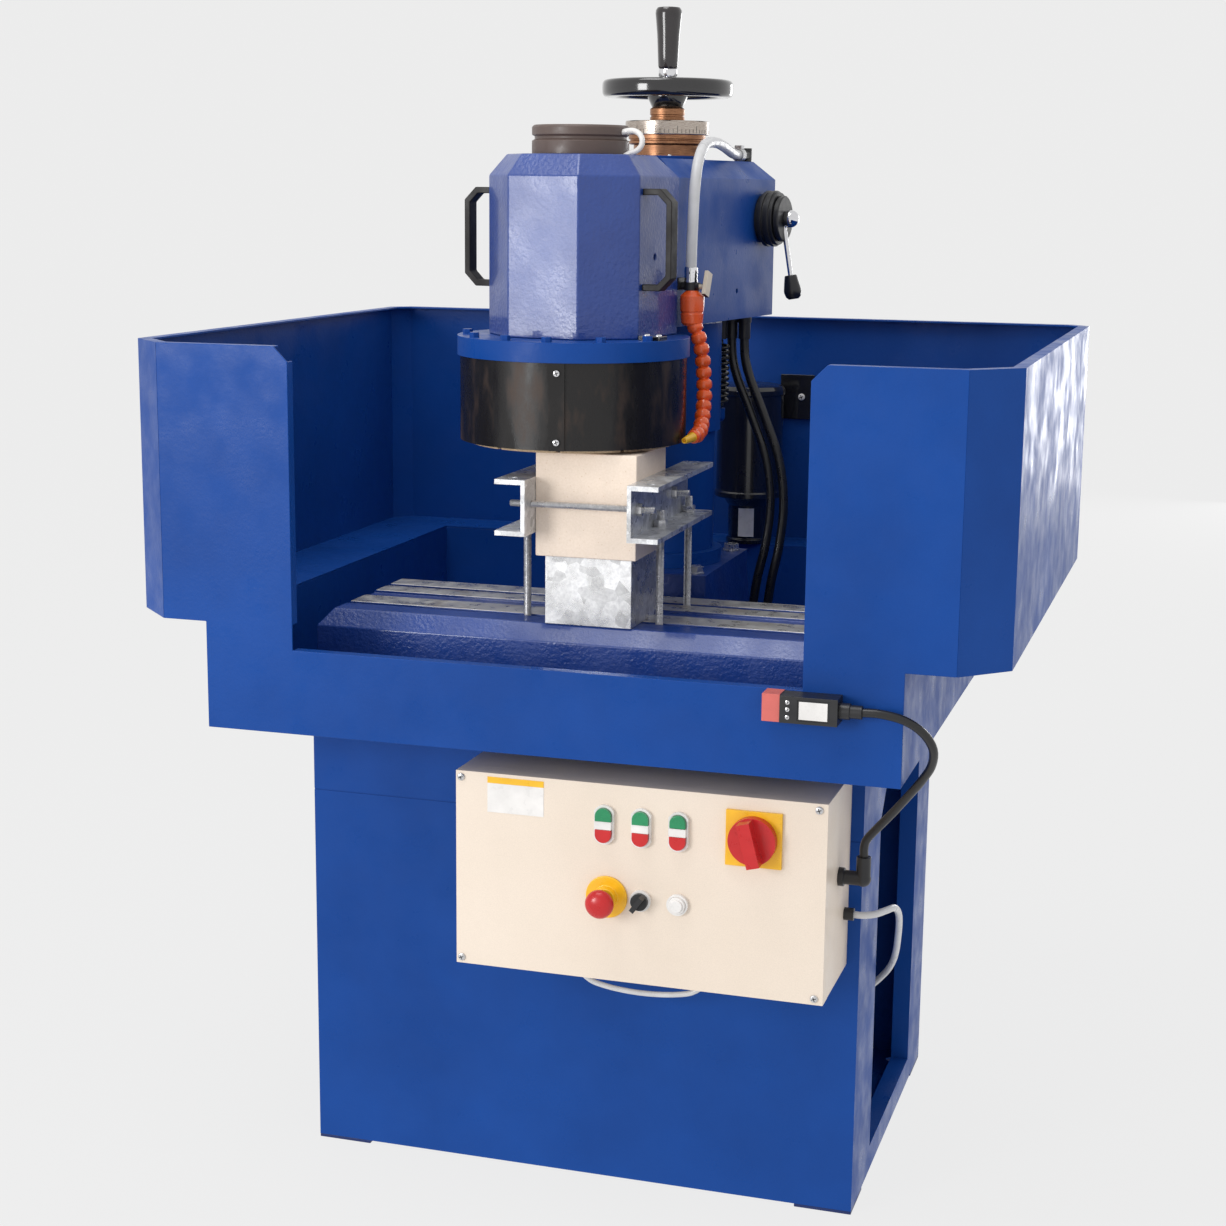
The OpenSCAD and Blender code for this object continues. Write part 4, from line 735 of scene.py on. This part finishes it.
def make_jointed_hose():
    """Snap-together beads along the route, on a cone-shaped connector, with a nozzle."""
    line = curve(JET_ROUTE, 24)
    shape = Shape()
    shape.lathe([(0, 1271), (13, 1271), (16, 1275), (17, 1288), (16.2, 1289), (16.2, 1291), (17.4, 1292),
                 (18, 1306), (18, 1314), (15, 1317), (9, 1322), (0, 1322)], shifted(*CONNECTOR_AT, 0), 20)
    travelled, due = 0.0, BEAD_PITCH * 0.6
    for here, there in zip(line, line[1:]):
        travelled += (there - here).length
        if travelled >= due:
            aim = (there - here).to_track_quat("Z", "X").to_matrix().to_4x4()
            shape.lathe(BEAD, Matrix.Translation(there) @ aim, 20)
            due += BEAD_PITCH
    tip = shifted(*JET_ROUTE[-1]) @ Matrix.Rotation(NOZZLE_TURN, 4, "Z") \
        @ Matrix.Rotation(NOZZLE_TILT, 4, "X")
    shape.lathe([(0, -6), (9, -6), (10, -2), (10, 3), (8, 6), (0, 6)], tip, 20)
    shape.look = 1
    shape.lathe([(0, 5), (7.4, 5), (6.6, 14), (4.6, 32), (4.2, 34), (2.6, 34), (2.6, 30), (0, 30)], tip, 20)
    stands_for(shape.made("jointed_hose", ON_ARM, [ORANGE, YELLOW]), "segmented_hose")


HOSE_END = (135, -212)
HOSE_START = (80, 112, 1522)


def make_hose_fittings():
    """Crimped ferrules on the coolant hose, and a clip round its rear end."""
    shape = Shape()
    shape.lathe([(8.2, 1334), (10, 1334), (10.2, 1336), (9.4, 1339), (10, 1342), (9.4, 1345), (10, 1348),
                 (9.6, 1355), (8.2, 1356)], shifted(*HOSE_END, 0), 28, True)
    goes_with(shape.made("hose_ferrule", ON_ARM, [CHROME]), "coolant_hose")
    shape = Shape()
    shape.lathe([(8.2, 0), (10.4, 0), (10.4, 14), (8.2, 14)], shifted(*HOSE_START, ALONG_Y), 28, True)
    shape.box((74, 99, 1531), (86, 111, 1537))
    goes_with(shape.made("hose_clip", ON_ARM, [ZINC], 0.0006), "coolant_hose")


DIAL_LOW, DIAL_SPLIT, DIAL_HIGH = 1535.3, 1550.0, 1571.3
RIM_MIDDLE = (89.0, 1620.5)
RIM_HALF = (13.0, 13.5)
CRANK_R = 84.0
CRANK_TURN = math.radians(15.7)
HANDWHEEL_PARTS = 3
TICKS = 60


def squared_ring(middle, half, count=28, power=0.55):
    """A soft-cornered square section about a middle point of radius and height."""
    section = []
    for k in range(count):
        c, s = math.cos(2 * math.pi * k / count), math.sin(2 * math.pi * k / count)
        section.append((middle[0] + half[0] * math.copysign(abs(c) ** power, c),
                        middle[1] + half[1] * math.copysign(abs(s) ** power, s)))
    return section


def make_handwheel():
    """A polished rim on three spokes, over a graduated dial with a bronze ring and neck."""
    shape = Shape()
    shape.lathe(squared_ring(RIM_MIDDLE, RIM_HALF), Matrix(), 96, True)
    shape.lathe([(0, 1591), (23, 1591), (24, 1592), (31, 1607), (31, 1610), (26, 1612), (26, 1628),
                 (24, 1630), (0, 1630)], Matrix(), 48)
    stands_for(shape.made("handwheel_rim", ON_COLUMN, [GLOSS_BLACK]), "handwheel")
    shape = Shape()
    for k in range(HANDWHEEL_PARTS):
        spin = Matrix.Rotation(CRANK_TURN + 2 * math.pi * k / HANDWHEEL_PARTS, 4, "Z")
        shape.box((-9, -80, 1611), (9, -22, 1623), spin)
    goes_with(shape.made("handwheel_spokes", ON_COLUMN, [GLOSS_BLACK], 0.003), "handwheel")
    shape = Shape()
    shape.lathe([(0, DIAL_LOW), (57, DIAL_LOW), (60, DIAL_LOW + 1.5), (60, DIAL_LOW + 5),
                 (57.5, DIAL_LOW + 6), (57.5, DIAL_LOW + 7.5), (60, DIAL_LOW + 8.5),
                 (60, DIAL_SPLIT), (0, DIAL_SPLIT)], Matrix(), 64)
    shape.lathe([(0, DIAL_HIGH), (26.5, DIAL_HIGH), (27, 1572.5), (27, 1577), (25.6, 1578), (25.6, 1580),
                 (27, 1581), (27, 1589.5), (25, 1591.3), (0, 1591.3)], Matrix(), 48)
    shape.look = 1
    shape.lathe([(0, DIAL_SPLIT), (63.6, DIAL_SPLIT), (65, DIAL_SPLIT + 1.2), (65, DIAL_HIGH - 1.2),
                 (63.6, DIAL_HIGH), (0, DIAL_HIGH)], Matrix(), 96)
    shape.look = 2
    for k in range(TICKS):
        spin = Matrix.Rotation(2 * math.pi * k / TICKS, 4, "Z")
        high = DIAL_SPLIT + (13 if k % 5 == 0 else 8)
        shape.box((64.5, -0.35, DIAL_SPLIT + 2), (65.2, 0.35, high), spin)
    goes_with(shape.made("graduated_dial", ON_COLUMN, [BRONZE, DIAL, BLACK]), "handwheel")


def make_crank():
    """A tapered grip on a turned ferrule and its pin."""
    shape = Shape()
    shape.lathe([(0, 1607), (5, 1607), (5, 1634.3), (13, 1634.3), (14, 1636), (14, 1645), (12.5, 1647),
                 (0, 1647)], Matrix(), 32)
    shape.look = 1
    shape.lathe([(0, 1647), (13.5, 1647), (15, 1650), (15.8, 1668), (17, 1695), (19, 1717), (20, 1727),
                 (19.6, 1732), (17, 1736), (11, 1737), (0, 1737)], Matrix(), 32)
    place = ON_COLUMN @ Matrix.Rotation(CRANK_TURN, 4, "Z") @ Matrix.Translation((0, -CRANK_R * MM, 0))
    stands_for(shape.made("crank_grip", place, [CHROME, GRIP]), "crank_handle")


LEVER_AT = (165.0, 118.0, 1423.0)
LEVER_FROM_X = 151.8
LEVER_TILT = math.radians(170)
BALL_R = 14
BALL_STEPS = 14


def make_clamp_lever():
    """A black disc, a bright lever with its ball, and a black knob."""
    shape = Shape()
    shape.look = 1
    shape.lathe([(0, -20), (8, -20), (8, 30.3), (0, 30.3)], shifted(117, *LEVER_AT[1:], ALONG_X), 24)
    shape.look = 0
    shape.lathe([(0, 0), (34, 0), (36, 1.5), (36, 7.5), (34, 9), (12, 9), (12, 10), (0, 10)],
                shifted(147.3, *LEVER_AT[1:], ALONG_X), 48)
    shape.look = 1
    arc = [math.pi * k / BALL_STEPS for k in range(1, BALL_STEPS)]
    ball = [(BALL_R * math.sin(turn), -BALL_R * math.cos(turn)) for turn in arc]
    shape.lathe([(0, -BALL_R), *ball, (0, BALL_R)], shifted(*LEVER_AT, ALONG_X), 28)
    aim = shifted(LEVER_FROM_X, *LEVER_AT[1:]) @ Matrix.Rotation(LEVER_TILT, 4, "Y")
    shape.lathe([(0, 8), (4.6, 8), (4, 44), (4, 92), (0, 92)], aim, 20)
    shape.look = 0
    shape.lathe([(0, 90), (9, 90), (10, 92), (12, 102), (14, 113), (14, 117), (12, 124), (8, 128),
                 (0, 128)], aim, 28)
    stands_for(shape.made("clamp_lever_skin", ON_ARM, [BLACK_PLASTIC, CHROME]), "clamp_lever")


PUMP_AT = (62, 768)
PUMP_PLATE_R = 35.6


def make_pump():
    """A ribbed motor can over a pump body with a blank plate, on a bracket bolted to the back wall."""
    shape = Shape()
    can = [(0, 940), (58, 940), (60, 942), (60, 950), (57.5, 952), (57.5, 1118), (60, 1120), (60, 1128),
           (56, 1134), (44, 1137), (0, 1137)]
    place = shifted(*PUMP_AT, 0)
    shape.lathe(can, place, 64)
    shape.lathe([(0, 859), (38, 859), (38, 866), (35, 868), (35, 925), (38, 928), (46, 941), (0, 941)],
                place, 48)
    low, high = (local(ON_MACHINE, corner / MM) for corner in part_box("coolant_pump"))
    back = high.y
    shape.box((42, back - 10, 1040), (82, back, 1130))
    shape.box((52, 818, 1070), (72, back - 9, 1110))
    shape.box((81, back - 6, 1090), (103, back, 1125))
    shape.box((102, back - 6, 1072), (162, back, 1150))
    stands_for(shape.made("pump_body", ON_MACHINE, [BLACK], 0.0008), "coolant_pump")
    shape = Shape()
    start, end, steps = math.radians(255), math.radians(300), 8
    turns = [start + (end - start) * k / steps for k in range(steps + 1)]
    outer = [(PUMP_PLATE_R * math.cos(turn), PUMP_PLATE_R * math.sin(turn)) for turn in turns]
    inner = [(x * 34 / PUMP_PLATE_R, y * 34 / PUMP_PLATE_R) for x, y in reversed(outer)]
    shape.prism(outer + inner, 872, 922, place)
    pan_screw(shape, facing_front(140, back - 6, 1111), 6, 3)
    goes_with(shape.made("pump_plate", ON_MACHINE, [WHITE, BLACK]), "coolant_pump")


STUD_X = (-98, 104)
STUD_Y = (52, 206)
STUD_Z = (828, 1016)
ROD_X = (-94, 120)
ROD_Y = (-34, 150)
ROD_Z = 1028
NUT_Z = (974.9, 992.1)
NUT_X = (-76.1, 94.1)


def nut(shape, turn, across_flats, thickness):
    """A hexagonal nut whose corners are turned off at both faces."""
    corner = across_flats / math.sqrt(3)
    angles = [math.radians(60 * k) for k in range(6)]
    rings = ((0, 0.93), (thickness * 0.18, 1.0), (thickness * 0.82, 1.0), (thickness, 0.93))
    rows = [[turn @ Vector((corner * scale * math.cos(angle), corner * scale * math.sin(angle), height))
             for angle in angles] for height, scale in rings]
    points = [point for row in rows for point in row]
    faces = [tuple(range(5, -1, -1)), tuple(range(18, 24))]
    for row in range(3):
        faces += [(row * 6 + k, row * 6 + (k + 1) % 6, row * 6 + 6 + (k + 1) % 6, row * 6 + 6 + k)
                  for k in range(6)]
    shape.add(points, faces)


def make_clamp_hardware():
    """Threaded studs and cross rods with their nuts, and the slot nuts under the studs."""
    shape = Shape()
    for x in STUD_X:
        for y in STUD_Y:
            thread(shape, shifted(x, y, STUD_Z[0]), 6, STUD_Z[1] - STUD_Z[0])
            shape.box((x - 9, y - 11, 827), (x + 9, y + 11, 835))
            for z in NUT_Z:
                nut(shape, shifted(x, y, z, Matrix.Rotation(math.radians(30), 4, "Z")), 18, 10)
    for y in ROD_Y:
        thread(shape, shifted(ROD_X[0], y, ROD_Z, ALONG_X), 5, ROD_X[1] - ROD_X[0])
        for x in NUT_X:
            nut(shape, shifted(x, y, ROD_Z, ALONG_X), 16, 8)
    stands_for(shape.made("studs_and_nuts", ON_MACHINE, [ZINC]), "clamp_hardware")


STRAP_TURN = math.radians(18)
STRAP_FACE = 167.5
FLANGE_TOP = 1258.0


def make_head_details():
    """Screws on the skirt's strap and the screw's housing, and a small plate on the flange."""
    shape = Shape()
    shape.box((124, -48, FLANGE_TOP - 0.5), (158, -22, FLANGE_TOP + 6))
    goes_with(shape.made("flange_plate", ON_HEAD, [BLACK], 0.0012), "head_flange")
    shape = Shape()
    strap = Matrix.Rotation(STRAP_TURN, 4, "Z")
    low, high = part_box("splash_skirt")
    for z in (low.z / MM + 12, high.z / MM - 14):
        pan_screw(shape, strap @ facing_front(0, -STRAP_FACE, z), 5.4, 3.8)
    goes_with(shape.made("strap_screws", ON_HEAD, [CHROME, BLACK]), "splash_skirt")
    shape = Shape()
    for x in (132, 150):
        pan_screw(shape, shifted(x, -35, FLANGE_TOP + 6), 4.5, 3)
    goes_with(shape.made("flange_screws", ON_HEAD, [CHROME, BLACK]), "head_flange")
    shape = Shape()
    for turn in (-62, 118):
        aim = Matrix.Rotation(math.radians(turn), 4, "Z")
        pan_screw(shape, aim @ shifted(56, 0, 1518), 3.4, 2)
    goes_with(shape.made("housing_screws", ON_ARM, [CHROME, BLACK]), "screw_housing")


# ---- sub-parts that keep their CAD shape, with painted and bare faces ----
def table_faces(centre, normal):
    """Ground strips on the top face either side of the middle groove; enamel elsewhere."""
    y = local(ON_MACHINE, centre).y
    on_top = normal.z > 0.9 and centre.z > 849
    return 1 if on_top and (26 < y < 115 or 155 < y < 250) else 0


SLEEVE_PAINT_TOP = 1262.0
HOUSING_BASE_TOP = 1518.2


def sleeve_faces(centre, normal):
    """Enamel up to the paint's edge, and ground steel above it."""
    return 1 if centre.z > SLEEVE_PAINT_TOP else 0


def valve_faces(centre, normal):
    """The valve's paddle has a pale face on a black body."""
    return 1 if normal.dot(ARM_X) > 0.9 or normal.y < -0.6 else 0


def housing_faces(centre, normal):
    """The low base ring is painted, the drum above it is bare bronze."""
    return 1 if centre.z < HOUSING_BASE_TOP else 0


# The look of each remaining node, and the radius of its edges in metres.
FINISHES = {
    "base_cabinet": (BLUE, 0.0012), "foot_pads": (DARK_BLUE, 0.001), "coolant_tray": (BLUE, 0.0012),
    "front_sheet": (BLUE, 0.0013), "splash_guard": (BLUE, 0.0013),
    "column_foot": (HAMMERED, 0.003), "foot_bolts": (ZINC, 0.0008), "column": (BLUE, 0.001),
    "control_box_body": (CREAM, 0.0012), "control_box_cover": (CREAM, 0.0022),
    "button_bezels": (WHITE, 0.0008), "pilot_lamp": (WHITE, 0.0012),
    "estop_collar": (YELLOW, 0.0015), "main_switch_plate": (YELLOW, 0.0015),
    "cable_glands": (BLACK_PLASTIC, 0.0006), "coolant_tank": (GREY, 0.001),
    "jaw_channels": (GALVANISED, 0.0012), "riser_block": (RISER, 0.001),
    "specimen_cube": (CONCRETE, 0.0018), "estop_stem": (BLACK_PLASTIC, 0.0005),
    "estop_button": (RED, 0.001), "selector_knob": (BLACK_PLASTIC, 0.0008),
    "main_switch_handle": (RED, 0.002), "arm_casing": (BLUE, 0.0025),
    "head_casing": (HAMMERED, 0.004), "head_flange": (BLUE, 0.002), "splash_skirt": (SKIRT, 0.0008),
    "motor_cap": (DARK_CAP, 0.001), "grab_handles": (SATIN_BLACK, 0.0015), "spindle_motor": (GREY, 0.001),
    "valve_body": (BLACK_PLASTIC, 0.001), "arm_fittings": (BLACK_PLASTIC, 0.0006),
    "clamp_hub": (BLACK_PLASTIC, 0.0008), "spindle_shaft": (STEEL, 0.0006),
    "wheel_plate": (STEEL, 0.001), "wheel_segments": (ABRASIVE, 0.001),
    "lead_screw": (STEEL, 0.0005)}
for number in (1, 2, 3):
    FINISHES["start_button_%d" % number] = (GREEN, 0.0015)
    FINISHES["stop_button_%d" % number] = (RED, 0.0015)

make_cords()
make_box_plates()
make_guard_switch()
make_jointed_hose()
make_hose_fittings()
make_handwheel()
make_crank()
make_clamp_lever()
make_pump()
make_clamp_hardware()
make_head_details()
refine("table_bed", [HAMMERED, GROUND], 0.002, table_faces)
refine("swing_sleeve", [BLUE, STEEL], 0.0006, sleeve_faces, cut=SLEEVE_PAINT_TOP)
refine("screw_housing", [BRONZE, BLUE], 0.001, housing_faces)
refine("valve_lever", [BLACK_PLASTIC, IVORY], 0.001, valve_faces)
for node, (look, width) in FINISHES.items():
    refine(node, [look], width)
